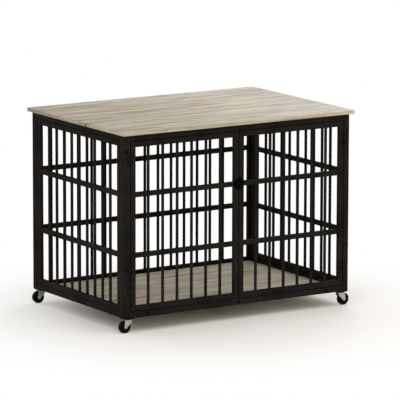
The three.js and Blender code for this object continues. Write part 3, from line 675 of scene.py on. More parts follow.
def bar_lines(name, origin, level, length, heights, count, end_gap):
    """Edge mesh of the upright bars, with a vertex wherever a bar meets a tube."""
    diameter = sizes().bar_diameter
    if end_gap is None:
        end_gap = (length - count * diameter) / (count + 1)
    pitch = (length - 2 * end_gap - diameter) / (count - 1)
    places, edges = [], []
    for k in range(count):
        foot = origin + level * ((k - (count - 1) / 2) * pitch)
        first = len(places)
        places += [tuple(foot + Vector((0, 0, height))) for height in heights]
        edges += [(first + i, first + i + 1) for i in range(len(heights) - 1)]
    data = bpy.data.meshes.new(name)
    data.from_pydata(places, edges, [])
    return data


def grille_panel(node, rings, count, body, end_gap=None, bars=True):
    """Rebuilds a panel: its mitred rings, its two rails and its bars. rings lists (face, inset) outside in."""
    origin, level, width, height, depth = panel_plane(node)
    foot_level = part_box("front_frame")[0].z
    values = sizes()
    mesh = bmesh.new()
    corner = values.seam_round if len(rings) > 1 else values.tube_round
    for face, inset in rings:
        mitred_ring(mesh, origin, level, width - 2 * inset, height - 2 * inset, face, depth, inset, corner)
    border = sum(face for face, _ in rings[-1:]) + rings[-1][1]
    length = width - 2 * border
    rails = [foot_level + z - origin.z for z in (values.lower_rail, values.upper_rail)]
    if bars:
        for rail in rails:
            rail_tube(mesh, origin, level, length, values.rail_height, depth, rail)
    bmesh.ops.recalc_face_normals(mesh, faces=mesh.faces)
    steel = bpy.data.meshes.new(node + "_steel")
    mesh.to_mesh(steel)
    mesh.free()
    steel.materials.append(material("powder"))
    parts = [steel]
    if bars:
        heights = [border]
        for rail in rails:
            heights += [rail, rail + values.rail_height]
        heights.append(height - border)
        lines = bar_lines(node, origin, level, length, heights, count, end_gap)
        parts.append(grown_mesh(node, lines, tree_named("bars", bar_tree), {
            "Bar radius": values.bar_diameter / 2, "Bead": values.weld_bead, "Sides": 40,
            "Finish": material("powder")}))
    piece = join_meshes(node + "_welded", parts)
    return place_piece(piece, body, "powder_coated_steel", node)


# ------------------------------------------------------------------ boards


def board_piece(node, face_finish, edge_finish, corners, slot, name, joint=0):
    """A board with eased edges. corners are the radii of the four upright corners, from -X -Y round. joint is
    +1 or -1 where the board's back or front edge meets another board, and leaves half the gap free there."""
    low, high, _ = box_of(node)
    if joint > 0:
        high.y -= sizes().joint_gap / 2
    elif joint < 0:
        low.y += sizes().joint_gap / 2
    ease = sizes().board_round
    layers = [(ease, 0), (0.3 * ease, 0.3 * ease), (0, ease)]
    thickness = high.z - low.z
    layers += [(inset, thickness - z) for inset, z in reversed(layers)]
    mesh = bmesh.new()
    loops = []
    for inset, z in layers:
        loop = []
        places = ((low.x, low.y, 1, 1), (high.x, low.y, -1, 1), (high.x, high.y, -1, -1), (low.x, high.y, 1, -1))
        for turn, ((x, y, sx, sy), radius) in enumerate(zip(places, corners)):
            reach = max(radius - inset, 0.05 * MM)
            cx, cy = x + sx * (inset + reach), y + sy * (inset + reach)
            for step in range(7):
                angle = math.radians(180 + 90 * turn + 15 * step)
                loop.append(Vector((cx + reach * math.cos(angle), cy + reach * math.sin(angle), low.z + z)))
        loops.append(loop)
    skin(mesh, loops)
    bmesh.ops.recalc_face_normals(mesh, faces=mesh.faces)
    # faces in the joint take the near-black joint finish, partly a dark edge and partly painted shade of the gap
    for face in mesh.faces:
        if joint * face.normal.y > 0.3:
            face.material_index = 2
        else:
            face.material_index = 0 if abs(face.normal.z) > 0.85 else 1
    piece = finish_object(name, mesh, [face_finish, edge_finish] + (["joint"] if joint else []))
    return place_piece(piece, "crate", slot, node)


# ------------------------------------------------------------------ small ironwork helpers


def temporary(name, mesh):
    """An object of a bmesh that is only a step on the way to a piece."""
    bmesh.ops.remove_doubles(mesh, verts=mesh.verts, dist=1e-7)
    bmesh.ops.recalc_face_normals(mesh, faces=mesh.faces)
    data = bpy.data.meshes.new(name)
    mesh.to_mesh(data)
    mesh.free()
    made = bpy.data.objects.new(name, data)
    bpy.context.scene.collection.objects.link(made)
    return made


def carved(base, joins=(), cuts=()):
    """The mesh of a solid after others are welded on and then cut away. All the objects are used up."""
    for index, other in enumerate([*joins, *cuts]):
        step = base.modifiers.new(f"step_{index}", "BOOLEAN")
        step.operation = "UNION" if index < len(joins) else "DIFFERENCE"
        step.solver = "EXACT"
        step.object = other
    bpy.context.view_layer.update()
    graph = bpy.context.evaluated_depsgraph_get()
    made = bpy.data.meshes.new_from_object(base.evaluated_get(graph))
    for used in (base, *joins, *cuts):
        bpy.data.objects.remove(used)
    return made


def dressed(data, finish):
    """Gives a mesh one finish."""
    data.materials.clear()
    data.materials.append(material(finish))
    return data


def mesh_of(mesh, finish, name="part"):
    """Mesh data of a bmesh, merged, facing outwards and with one finish."""
    bmesh.ops.remove_doubles(mesh, verts=mesh.verts, dist=1e-7)
    bmesh.ops.recalc_face_normals(mesh, faces=mesh.faces)
    data = bpy.data.meshes.new(name)
    mesh.to_mesh(data)
    mesh.free()
    return dressed(data, finish)


def frame_to(origin, z_axis, x_axis=None):
    """Matrix that puts Z along z_axis, X as near x_axis as it can, and the origin at origin."""
    z = Vector(z_axis).normalized()
    guide = Vector(x_axis) if x_axis else (Vector((1, 0, 0)) if abs(z.x) < 0.9 else Vector((0, 0, 1)))
    y = z.cross(guide).normalized()
    x = y.cross(z)
    return Matrix.Translation(origin) @ Matrix((x, y, z)).transposed().to_4x4()


def prism(mesh, outline, low, high, ease, place=Matrix.Identity(4)):
    """A flat outline raised along Z from low to high, with its two rims eased. The outline runs
    counter-clockwise, and the easing moves each point along the mean of its two edges' normals."""
    count = len(outline)
    shifts = []
    for k in range(count):
        before, here, after = (Vector(outline[i % count]) for i in (k - 1, k, k + 1))
        a, b = (here - before).normalized(), (after - here).normalized()
        inward = Vector((-a.y - b.y, a.x + b.x))
        size = inward.length_squared
        shifts.append(inward * (2 / size) if size > 0.5 else inward)
    rows = [(low, ease), (low + 0.3 * ease, 0.3 * ease), (low + ease, 0.0),
            (high - ease, 0.0), (high - 0.3 * ease, 0.3 * ease), (high, ease)]
    loops = []
    for z, inset in rows:
        loops.append([place @ Vector((x + s.x * inset, y + s.y * inset, z)) for (x, y), s in zip(outline, shifts)])
    return skin(mesh, loops)


def rounded_outline(x0, x1, y0, y1, radii, steps=5):
    """Counter-clockwise outline of a rectangle with its own radius at each corner, from (x0, y0) round."""
    corners = ((x0, y0, 1, 1), (x1, y0, -1, 1), (x1, y1, -1, -1), (x0, y1, 1, -1))
    points = []
    for turn, ((x, y, sx, sy), radius) in enumerate(zip(corners, radii)):
        if radius <= 0:
            points.append((x, y))
            continue
        for step in range(steps + 1):
            angle = math.radians(180 + 90 * turn + 90 * step / steps)
            points.append((x + sx * radius + radius * math.cos(angle), y + sy * radius + radius * math.sin(angle)))
    return points


def driven_head(mesh, profile, sides, socket, depth):
    """A turned head with a recess for its driver. The profile ends on the ring around the recess."""
    rings = []
    for r, z in profile:
        rings.append([mesh.verts.new((x, y, z)) for x, y in circle(r, sides)])
    for low, high in zip(rings, rings[1:]):
        for k in range(sides):
            after = (k + 1) % sides
            mesh.faces.new((low[k], low[after], high[after], high[k]))
    mesh.faces.new(rings[0][::-1])
    top = profile[-1][1]
    lip = [mesh.verts.new((x, y, top)) for x, y in socket]
    foot = [mesh.verts.new((x, y, top - depth)) for x, y in socket]
    edges = []
    for row in (rings[-1], lip):
        for k in range(len(row)):
            after = row[(k + 1) % len(row)]
            edges.append(mesh.edges.get((row[k], after)) or mesh.edges.new((row[k], after)))
    bmesh.ops.triangle_fill(mesh, edges=edges, use_beauty=True, use_dissolve=False)
    for face in [f for f in mesh.faces if all(v in lip for v in f.verts)]:
        mesh.faces.remove(face)
    for k in range(len(lip)):
        after = (k + 1) % len(lip)
        mesh.faces.new((lip[k], lip[after], foot[after], foot[k]))
    mesh.faces.new(foot)


def cross_outline(reach, half):
    """Outline of a driver's cross recess."""
    return [(reach, -half), (reach, half), (half, half), (half, reach), (-half, reach), (-half, half),
            (-reach, half), (-reach, -half), (-half, -half), (-half, -reach), (half, -reach), (half, -half)]


def button_head(shank):
    """Button-head bolt with a hexagon socket. Its seat is at z = 0 and its shank runs down."""
    r, h = sizes().bolt_head, 3.2 * MM
    stem = 3 * MM
    dome = [(r * math.cos(math.radians(a)) ** 0.8, 0.9 * MM + (h - 0.9 * MM) * math.sin(math.radians(a)))
            for a in range(0, 61, 10)]
    mesh = bmesh.new()
    driven_head(mesh, [(stem * 0.8, -shank), (stem, -shank + 0.6 * MM), (stem, 0), (r - 0.3 * MM, 0), (r, 0.3 * MM)]
                + dome[:1] + dome[1:], 28, circle(2.2 * MM, 6), 1.9 * MM)
    return temporary("button_head_template", mesh)


def countersunk_head():
    """Flat head of a countersunk screw with a cross recess, for hinges and caster plates."""
    r = sizes().screw_head
    mesh = bmesh.new()
    driven_head(mesh, [(r, -0.6 * MM), (r, 0.0), (r - 0.25 * MM, 0.22 * MM), (r * 0.6, 0.38 * MM)],
                20, cross_outline(r * 0.48, r * 0.13), 0.9 * MM)
    return temporary("countersunk_head_template", mesh)


def rivet_head():
    """Low domed rivet head."""
    r = 2.6 * MM
    mesh = bmesh.new()
    profile = [(0, -1 * MM), (r, -1 * MM), (r, 0.1 * MM)]
    profile += [(r * math.cos(math.radians(a)), 0.1 * MM + 1.1 * MM * math.sin(math.radians(a)))
                for a in (20, 40, 60, 75)]
    profile.append((0, 1.2 * MM))
    lathe(mesh, profile, 18)
    return temporary("rivet_head_template", mesh)


# ------------------------------------------------------------------ hinges


def hinge_leaf(side, level, kind):
    """One leaf: eased plate, its rolled knuckles with a bore, and two screws."""
    node = f"{side}_{level}_hinge_{kind}_leaf"
    pin_low, pin_high, axis = box_of(f"{side}_{level}_hinge_pin")
    low, high, _ = box_of(node)
    reach = 1 if low.x + high.x > 2 * axis.x else -1
    turned = frame_to(axis, (0, 0, 1), (reach, 0, 0))
    if reach < 0:
        turned = Matrix.Translation(axis) @ Matrix.Diagonal((-1, 1, 1, 1))
    knuckle, thick, height = 3 * MM, 1.5 * MM, high.z - low.z
    free_edge = max(high.x - axis.x, axis.x - low.x)
    back, front = knuckle, knuckle - thick
    # the plate lies in X and Z: its outline is drawn in X and height, and raised along -Y
    upright = turned @ Matrix(((1, 0, 0, 0), (0, 0, -1, 0), (0, 1, 0, 0), (0, 0, 0, 1)))
    plate = bmesh.new()
    corner = 2.2 * MM
    outline = rounded_outline(3.3 * MM, free_edge, -height / 2, height / 2, (0.2 * MM, corner, corner, 0.2 * MM))
    prism(plate, outline, -back, -front, 0.25 * MM, upright)
    parts = [mesh_of(plate, "powder")]
    span = (height - 0.6 * MM) / 3
    for index in ((0, 2) if kind == "post" else (1,)):
        foot = -height / 2 + index * (span + 0.3 * MM)
        roll = bmesh.new()
        ease = 0.3 * MM
        bore, outer = 1.8 * MM, knuckle
        ring_lathe(roll, [(bore, foot), (outer - ease, foot), (outer, foot + ease), (outer, foot + span - ease),
                          (outer - ease, foot + span), (bore, foot + span)], 28, turned)
        web = rounded_outline(1.9 * MM, 4 * MM, foot, foot + span, (0, 0, 0, 0))
        prism(roll, web, -back, -front, 0.15 * MM, upright)
        parts.append(mesh_of(roll, "powder"))
    screws = [(turned @ Vector((9.0 * MM, front - 0.1 * MM, z)), Vector((0, -1, 0))) for z in (-11.3 * MM, 11.3 * MM)]
    head = countersunk_head()
    parts.append(fasteners(node, head, 1.0, screws, "fitting"))
    bpy.data.objects.remove(head)
    piece = join_meshes(node + "_rolled", parts)
    body = "crate" if kind == "post" else f"door_{side}"
    return place_piece(piece, body, "powder_coated_steel", node)


def hinge_pin(side, level):
    """Pin with a peened head at each end."""
    node = f"{side}_{level}_hinge_pin"
    low, high, middle = box_of(node)
    half = (high.z - low.z) / 2
    r, head, rise = 1.5 * MM, 2.6 * MM, 1.2 * MM
    top = [(head, half - rise), (head, half - 0.8 * MM), (head * 0.85, half - 0.35 * MM), (head * 0.5, half - 0.06 * MM),
           (0, half)]
    profile = [(radius, -z) for radius, z in reversed(top)] + [(r, -half + rise), (r, half - rise)] + top
    mesh = bmesh.new()
    lathe(mesh, profile, 24, Matrix.Translation(middle))
    piece = join_meshes(node + "_peened", [mesh_of(mesh, "fitting")])
    return place_piece(piece, "crate", "powder_coated_steel", node)


# ------------------------------------------------------------------ latch


def latch_place():
    """Where the doors' faces meet at the latch's height: the point that its parts are drawn from."""
    low, high, middle = box_of("latch_body")
    return Vector((0, high.y, middle.z))


def half_cover(side, place):
    """Half a round cover: a raised rim around a dished field, flat along the doors' meeting line."""
    radius, gap, thick = 23 * MM, 1 * MM, 3 * MM
    profile = [(0, 0), (radius, 0), (radius, thick - 0.9 * MM), (radius - 0.3 * MM, thick - 0.3 * MM),
               (radius - 0.9 * MM, thick), (radius - 3.2 * MM, thick), (radius - 3.8 * MM, thick - 0.7 * MM), (0, thick - 0.7 * MM)]
    steps = 40
    mesh = bmesh.new()
    rows = []
    for r, z in profile[1:-1]:
        row = []
        for step in range(steps + 1):
            angle = math.radians(-90 + 180 * step / steps)
            row.append(mesh.verts.new((side * (gap + r * math.cos(angle)), -z, r * math.sin(angle))))
        rows.append(row)
    for low, high in zip(rows, rows[1:]):
        for k in range(steps):
            mesh.faces.new((low[k], low[k + 1], high[k + 1], high[k]))
    mesh.faces.new(rows[0])
    mesh.faces.new(rows[-1])
    mesh.faces.new([row[0] for row in rows] + [row[-1] for row in reversed(rows)])
    mesh.transform(Matrix.Translation(place))
    return temporary("half_cover", mesh)


def latch_barrel(x0, x1, place, widen=0.0):
    """Barrel over a half cover: flat at the back, round at the front, its ends eased."""
    radius, height = 6.5 * MM, 12 * MM
    ease = 0.7 * MM
    stations = [(x0, ease), (x0 + 0.3 * ease, 0.3 * ease), (x0 + ease, 0), (x1 - ease, 0), (x1 - 0.3 * ease, 0.3 * ease),
                (x1, ease)]
    loops = []
    for x, inset in stations:
        r = radius - inset
        loop = [Vector((x, -0.5 * MM, -r)), Vector((x, -0.5 * MM, r))]
        centre = height - radius
        loop += [Vector((x, -(centre + r * math.sin(a)), r * math.cos(a)))
                 for a in (math.radians(12 * k) for k in range(16))]
        loops.append([place + point for point in loop])
    mesh = bmesh.new()
    skin(mesh, loops)
    return temporary("barrel", mesh)


def rod_object(start, end, radius, sides=28, ease=0.0):
    """A closed round rod between two points, its ends eased."""
    start, end = Vector(start), Vector(end)
    length = (end - start).length
    mesh = bmesh.new()
    profile = [(0, 0), (radius - ease, 0), (radius, ease), (radius, length - ease), (radius - ease, length), (0, length)]
    if not ease:
        profile = [(0, 0), (radius, 0), (radius, length), (0, length)]
    lathe(mesh, profile, sides, frame_to(start, end - start))
    return temporary("rod", mesh)


def slot_object(x0, x1, y0, y1, half, place):
    """A long hole with round ends, cut through along Y."""
    outline = rounded_outline(x0, x1, -half, half, (half * 0.98,) * 4, 6)
    mesh = bmesh.new()
    upright = Matrix.Translation(place) @ Matrix(((1, 0, 0, 0), (0, 0, -1, 0), (0, 1, 0, 0), (0, 0, 0, 1)))
    loops = [[upright @ Vector((x, z, y)) for x, z in outline] for y in (-y1, -y0)]
    skin(mesh, loops)
    return temporary("slot", mesh)


def latch_pieces():
    """Cover halves with their barrels, rivets and the sliding bolt with its knob."""
    place = latch_place()
    axis_y = -7.5 * MM
    knob_x = -14 * MM
    rivet = rivet_head()
    for node, side, body in (("latch_body", -1, "door_left"), ("latch_keeper", 1, "door_right")):
        near, far = 1 * MM, (19 * MM if side < 0 else 14 * MM)
        x0, x1 = sorted((side * near, side * far))
        barrel = latch_barrel(x0, x1, place)
        tunnel_end = -far - 1 * MM if side < 0 else far - 2 * MM
        tunnel = rod_object(place + Vector((-side * 2 * MM, axis_y, 0)), place + Vector((tunnel_end, axis_y, 0)), 3.8 * MM)
        cuts = [tunnel]
        if side < 0:
            cuts.append(slot_object(knob_x - 2.3 * MM, knob_x + 11.3 * MM, -14 * MM, axis_y, 2.3 * MM, place))
        parts = [dressed(carved(half_cover(side, place), [barrel], cuts), "fitting")]
        spots = [(place + Vector((side * (1 * MM + 14.5 * MM * math.cos(a)), -2.3 * MM, 14.5 * MM * math.sin(a))),
                  Vector((0, -1, 0))) for a in (math.radians(58), math.radians(-58))]
        parts.append(fasteners(node, rivet, 1.0, spots, "fitting"))
        place_piece(join_meshes(node + "_riveted", parts, 38), body, "blackened_bolt_steel", node)
    bpy.data.objects.remove(rivet)
    stem_front = -12.3 * MM
    bar = rod_object(place + Vector((-18.3 * MM, axis_y, 0)), place + Vector((-1.3 * MM, axis_y, 0)), 3.5 * MM, 28, 0.6 * MM)
    neck = rod_object(place + Vector((knob_x, axis_y, 0)), place + Vector((knob_x, stem_front - 0.5 * MM, 0)), 2 * MM, 20)
    knob_mesh = bmesh.new()
    lathe(knob_mesh, [(0, 0), (4.2 * MM, 0), (5 * MM, 0.5 * MM), (5 * MM, 1.9 * MM), (4.7 * MM, 2.6 * MM), (4 * MM, 3 * MM),
                      (2.4 * MM, 2.75 * MM), (0, 2.65 * MM)], 32, frame_to(place + Vector((knob_x, stem_front, 0)), (0, -1, 0)))
    knob = temporary("knob", knob_mesh)
    parts = [dressed(carved(bar, [neck, knob]), "fitting")]
    place_piece(join_meshes("latch_bolt_turned", parts, 38), "latch_slider", "blackened_bolt_steel", "latch_bolt")


# ------------------------------------------------------------------ casters


def caster_frame(corner):
    """Swivel axis on the ground, and +1 or -1 for the way the wheel trails."""
    low, high, middle = box_of(f"caster_plate_{corner}")
    wheel_low, wheel_high, wheel = box_of(f"caster_wheel_{corner}")
    return Vector((middle.x, middle.y, 0)), (1 if wheel.x > middle.x else -1)


def caster_plate(corner):
    """Top plate with four screws, the swivel's raceway and the riveted kingpin."""
    node = f"caster_plate_{corner}"
    ground, _ = caster_frame(corner)
    low, high, _ = box_of(node)
    foot, half = high.z - 2.5 * MM, (high.x - low.x) / 2
    here = Matrix.Translation(ground)
    plate = bmesh.new()
    prism(plate, rounded_outline(-half, half, -half, half, (4 * MM,) * 4), foot, high.z, 0.5 * MM, here)
    swivel = bmesh.new()
    lathe(swivel, [(0, low.z), (3.6 * MM, low.z), (5.2 * MM, low.z + 0.35 * MM), (6 * MM, low.z + 1.0 * MM),
                   (6 * MM, low.z + 1.4 * MM), (4 * MM, low.z + 1.4 * MM), (4 * MM, foot - 3 * MM), (10.8 * MM, foot - 3 * MM),
                   (12.3 * MM, foot - 2.4 * MM), (12.9 * MM, foot - 1.4 * MM), (13 * MM, foot + 0.3 * MM), (0, foot + 0.3 * MM)],
          32, here)
    head = countersunk_head()
    spots = [(ground + Vector((sx * 15.5 * MM, sy * 15.5 * MM, foot + 0.1 * MM)), Vector((0, 0, -1)))
             for sx in (-1, 1) for sy in (-1, 1)]
    parts = [mesh_of(plate, "fitting"), mesh_of(swivel, "zinc"), fasteners(node, head, 1.15, spots, "fitting")]
    bpy.data.objects.remove(head)
    place_piece(join_meshes(node + "_pressed", parts), "crate", "zinc_plated_steel", node)


def cheek_outline(top, trail, axle_height, shrink=0.0):
    """Outline of a fork's cheek in trail and height: kite-shaped, round about the axle."""
    eye, knee, knee_rise = 7 * MM, 26 * MM, 16 * MM
    points = [(trail + 2.8 * MM, top), (-15.3 * MM, top), (trail - knee, axle_height + knee_rise)]
    for step in range(11):
        angle = math.radians(243 + (363.6 - 243) * step / 10)
        points.append((trail + eye * math.cos(angle), axle_height + eye * math.sin(angle)))
    return points


def caster_fork(corner):
    """Pressed fork: crown, rounded bends and two kite-shaped cheeks, with holes for the kingpin and the axle."""
    node = f"caster_fork_{corner}"
    ground, way = caster_frame(corner)
    low, high, _ = box_of(node)
    _, _, wheel = box_of(f"caster_wheel_{corner}")
    trail, axle_height = abs(wheel.x - ground.x), wheel.z
    top, sheet = high.z, 2 * MM
    outside = (high.y - low.y) / 2
    turned = Matrix.Translation(ground) @ Matrix.Diagonal((way, way, 1, 1))
    bend = 2.6 * MM
    # section across the crown, as a closed strip: out along the top, round the bend and down, and back inside
    crown = bmesh.new()
    outer, inner = [], []
    for side in (1, -1):
        for step in range(6):
            angle = math.radians(18 * step)
            a = angle if side > 0 else math.radians(90) - angle
            centre = (outside - bend, top - bend)
            outer.append((side * (centre[0] + bend * math.sin(math.radians(90) - a)), centre[1] + bend * math.cos(math.radians(90) - a)))
            small = bend - sheet
            inner.append((side * (centre[0] + small * math.sin(math.radians(90) - a)), centre[1] + small * math.cos(math.radians(90) - a)))
    section = outer + inner[::-1]
    lengths = [(-20 * MM, 4.2 * MM), (-19.5 * MM, 2.6 * MM), (-18.4 * MM, 1.2 * MM), (-16.2 * MM, 0.0), (12.4 * MM, 0.0),
               (14.4 * MM, 1.2 * MM), (15.5 * MM, 2.6 * MM), (16 * MM, 4.2 * MM)]
    loops = []
    for x, narrow in lengths:
        loops.append([turned @ Vector((x, (abs(y) - narrow) * (1 if y > 0 else -1), z)) for y, z in section])
    skin(crown, loops)
    base = temporary("crown", crown)
    cheeks = []
    for y in (outside - sheet, -outside):
        cheek = bmesh.new()
        upright = turned @ Matrix(((1, 0, 0, 0), (0, 0, 1, 0), (0, 1, 0, 0), (0, 0, 0, 1)))
        prism(cheek, cheek_outline(top - bend - 0.2 * MM, trail, axle_height), y, y + sheet, 0.35 * MM, upright)
        cheeks.append(temporary("cheek", cheek))
    kingpin = rod_object(ground + Vector((0, 0, low.z)), ground + Vector((0, 0, top + 5 * MM)), 4.3 * MM)
    shaft = rod_object(turned @ Vector((trail, -outside - 2 * MM, axle_height)),
                       turned @ Vector((trail, outside + 2 * MM, axle_height)), 3.3 * MM)
    fork = dressed(carved(base, cheeks, [kingpin, shaft]), "zinc")
    piece = join_meshes(node + "_pressed", [fork], 38)
    place_piece(piece, f"fork_{corner}", "zinc_plated_steel", node)


def caster_wheel(corner):
    """Wheel with a rubber tread moulded on a ribbed nylon core."""
    node = f"caster_wheel_{corner}"
    low, high, middle = box_of(node)
    radius, hub = (high.z - low.z) / 2, (high.y - low.y) / 2
    along = frame_to(middle, (0, 1, 0))
    tread = bmesh.new()
    side = 9 * MM
    flank = [(18.2 * MM, side - 0.9 * MM), (18.6 * MM, side - 0.2 * MM), (19.2 * MM, side), (21.6 * MM, side)]
    for a in range(0, 91, 15):
        flank.append((radius - 3.2 * MM + 3.2 * MM * math.sin(math.radians(a)), side - 3.2 * MM + 3.2 * MM * math.cos(math.radians(a))))
    ring_lathe(tread, flank + [(r, -y) for r, y in reversed(flank)], 56, along)
    core = bmesh.new()
    web = 4 * MM
    profile = [(3.3 * MM, hub), (7.4 * MM, hub), (8 * MM, hub - 0.5 * MM), (8.3 * MM, web + 1.2 * MM), (9.4 * MM, web), (15.6 * MM, web),
               (16.9 * MM, web + 1.0 * MM), (17.3 * MM, side - 0.5 * MM), (17.8 * MM, side - 0.2 * MM), (18.3 * MM, side - 0.6 * MM)]
    ring_lathe(core, profile + [(r, -y) for r, y in reversed(profile)], 56, along)
    place_piece(join_meshes(node + "_moulded", [mesh_of(tread, "tread"), mesh_of(core, "core")]),
                f"wheel_{corner}", "black_caster_tread", node)


def caster_axle(corner):
    """Riveted axle: a domed head outside each cheek."""
    node = f"caster_axle_{corner}"
    low, high, middle = box_of(node)
    half = (high.y - low.y) / 2
    r, head, rise = 3 * MM, 5 * MM, 2 * MM
    top = [(r, half - rise), (head - 0.2 * MM, half - rise), (head, half - rise + 0.25 * MM), (head * 0.93, half - 1.1 * MM),
           (head * 0.72, half - 0.5 * MM), (head * 0.38, half - 0.08 * MM), (0, half)]
    profile = [(radius, -z) for radius, z in reversed(top)] + top
    mesh = bmesh.new()
    lathe(mesh, profile, 28, frame_to(middle, (0, 1, 0)))
    place_piece(join_meshes(node + "_riveted", [mesh_of(mesh, "zinc")]), f"fork_{corner}", "zinc_plated_steel", node)


# ------------------------------------------------------------------ bolts, straps and brackets


def bolt_set(name, prefix):
    """All the bolts whose nodes start with prefix, as one piece."""
    nodes = sorted(node for node in NODES if node.startswith(prefix))
    spots, shank = [], 0
    for node in nodes:
        low, high, middle = box_of(node)
        facing = -1 if middle.y < 0 else 1
        seat = (low.y + 3.2 * MM) if facing < 0 else (high.y - 3.2 * MM)
        shank = high.y - low.y - 3.2 * MM
        spots.append((Vector((middle.x, seat, middle.z)), Vector((0, facing, 0))))
    head = button_head(shank)
    data = fasteners(name, head, 1.0, spots, "fitting")
    bpy.data.objects.remove(head)
    place_piece(join_meshes(name, [data], 30), "crate", "blackened_bolt_steel", *nodes)


def bent_strip(mesh, path, thickness, bend, place):
    """A strip of sheet in Y and Z from a path of (y, z) points on its underside. Its turned corners are round.
    The path turns left. place lists the strip's low and high X."""
    outer, inner = [], []
    for index, point in enumerate(path):
        here = Vector(point)
        if index in (0, len(path) - 1):
            other = Vector(path[1] if index == 0 else path[-2])
            along = (other - here if index == 0 else here - other).normalized()
            normal = Vector((-along.y, along.x))
            outer.append(here)
            inner.append(here + normal * thickness)
            continue
        a = (here - Vector(path[index - 1])).normalized()
        b = (Vector(path[index + 1]) - here).normalized()
        centre = here - a * bend + Vector((-a.y, a.x)) * bend
        start = math.atan2(-a.x, a.y)
        for step in range(6):
            angle = start + math.radians(18 * step)
            outward = Vector((math.cos(angle), math.sin(angle)))
            outer.append(centre + outward * bend)
            inner.append(centre + outward * (bend - thickness))
    outline = outer + inner[::-1]
    ease = 0.3 * MM
    x0, x1 = place
    loops = []
    for x, inset in ((x0, ease), (x0 + ease, 0.0), (x1 - ease, 0.0), (x1, ease)):
        scale = 1 - inset / (20 * thickness)
        loops.append([Vector((x, y * scale if inset else y, z)) for y, z in outline])
    skin(mesh, loops)


def floor_straps():
    """Steel straps under the floor board, their ends turned up inside the frame."""
    for side in ("left", "middle", "right"):
        node = f"floor_strap_{side}"
        low, high, _ = box_of(node)
        mesh = bmesh.new()
        bent_strip(mesh, [(low.y, high.z), (low.y, low.z), (high.y, low.z), (high.y, high.z)], 2 * MM, 3 * MM, (low.x, high.x))
        place_piece(join_meshes(node + "_bent", [mesh_of(mesh, "powder")]), "crate", "powder_coated_steel", node)


def floor_brackets():
    """Angle brackets under the floor board's ends, each with a rivet through the side panel's foot."""
    for side, sign in (("left", -1), ("right", 1)):
        node = f"floor_bracket_{side}"
        low, high, middle = box_of(node)
        panel_low, panel_high, _ = box_of(f"{side}_side_panel")
        wall = (panel_low.x - 0.3 * MM) if sign > 0 else (panel_high.x + 0.3 * MM)
        mesh = bmesh.new()
        reach = 22 * MM
        bent_strip(mesh, [(-reach, low.z), (0, low.z), (0, high.z)], 2 * MM, 2.6 * MM, (low.y, high.y))
        mesh.transform(Matrix(((0, sign, 0, wall), (1, 0, 0, 0), (0, 0, 1, 0), (0, 0, 0, 1))))
        rivet = bmesh.new()
        tip = (high.x if sign > 0 else low.x) - wall
        length = abs(tip)
        lathe(rivet, [(0, -1 * MM), (3 * MM, -1 * MM), (3 * MM, length - 1.6 * MM), (5.7 * MM, length - 1.6 * MM),
                      (6 * MM, length - 1.3 * MM), (5.4 * MM, length - 0.6 * MM), (3.4 * MM, length - 0.12 * MM), (0, length)],
              24, frame_to(Vector((wall, middle.y, low.z + 12.5 * MM)), (sign, 0, 0)))
        place_piece(join_meshes(node + "_bent", [mesh_of(mesh, "powder"), mesh_of(rivet, "fitting")]), "crate",
                    "powder_coated_steel", node)


# ------------------------------------------------------------------ operators


class CRATE_OT_stage(bpy.types.Operator):
    """Makes the floor, the lights, the white background and the camera"""
    bl_idname = "crate.stage"
    bl_label = "Stage"

    def execute(self, context):
        make_floor()
        make_lights()
        make_world()
        make_camera()
        context.scene.view_settings.view_transform = "Standard"
        return {"FINISHED"}


class CRATE_OT_panels(bpy.types.Operator):
    """Makes the front frame, the back panel and the side panels"""
    bl_idname = "crate.panels"
    bl_label = "Frame and panels"

    def execute(self, context):
        values = sizes()
        outer = (values.tube_face, 0.0)
        inner = (values.inner_face, values.tube_face)
        grille_panel("front_frame", [outer], 0, "crate", bars=False)
        grille_panel("back_panel", [outer], 15, "crate")
        for side in SIDES:
            grille_panel(f"{side}_side_panel", [outer, inner], 9, "crate", values.side_end_gap)
        return {"FINISHED"}


class CRATE_OT_doors(bpy.types.Operator):
    """Makes the two doors"""
    bl_idname = "crate.doors"
    bl_label = "Doors"

    def execute(self, context):
        for side in SIDES:
            grille_panel(f"{side}_door", [(sizes().inner_face, 0.0)], 6, f"door_{side}")
        return {"FINISHED"}


class CRATE_OT_boards(bpy.types.Operator):
    """Makes the two boards of the table top and the floor board"""
    bl_idname = "crate.boards"
    bl_label = "Boards"

    def execute(self, context):
        corner = sizes().board_corner
        square = sizes().joint_corner
        board_piece("table_top_front_board", "top", "edge", (corner, corner, square, square),
                    "grey_oak_board", "table_top_front", 1)
        board_piece("table_top_rear_board", "top", "edge", (square, square, corner, corner),
                    "grey_oak_board", "table_top_rear", -1)
        board_piece("floor_board", "floor", "edge", (corner, corner, corner, corner),
                    "grey_oak_board", "floor_board_laid")
        return {"FINISHED"}


class CRATE_OT_hinges(bpy.types.Operator):
    """Makes the four butt hinges"""
    bl_idname = "crate.hinges"
    bl_label = "Hinges"

    def execute(self, context):
        for side in SIDES:
            for level in LEVELS:
                hinge_leaf(side, level, "post")
                hinge_leaf(side, level, "door")
                hinge_pin(side, level)
        return {"FINISHED"}


class CRATE_OT_latch(bpy.types.Operator):
    """Makes the round latch over the doors' meeting line"""
    bl_idname = "crate.latch"
    bl_label = "Latch"

    def execute(self, context):
        latch_pieces()
        return {"FINISHED"}


class CRATE_OT_casters(bpy.types.Operator):
    """Makes the four swivel casters"""
    bl_idname = "crate.casters"
    bl_label = "Casters"

    def execute(self, context):
        for end in ENDS:
            for side in SIDES:
                corner = f"{end}_{side}"
                caster_plate(corner)
                caster_fork(corner)
                caster_wheel(corner)
                caster_axle(corner)
        return {"FINISHED"}


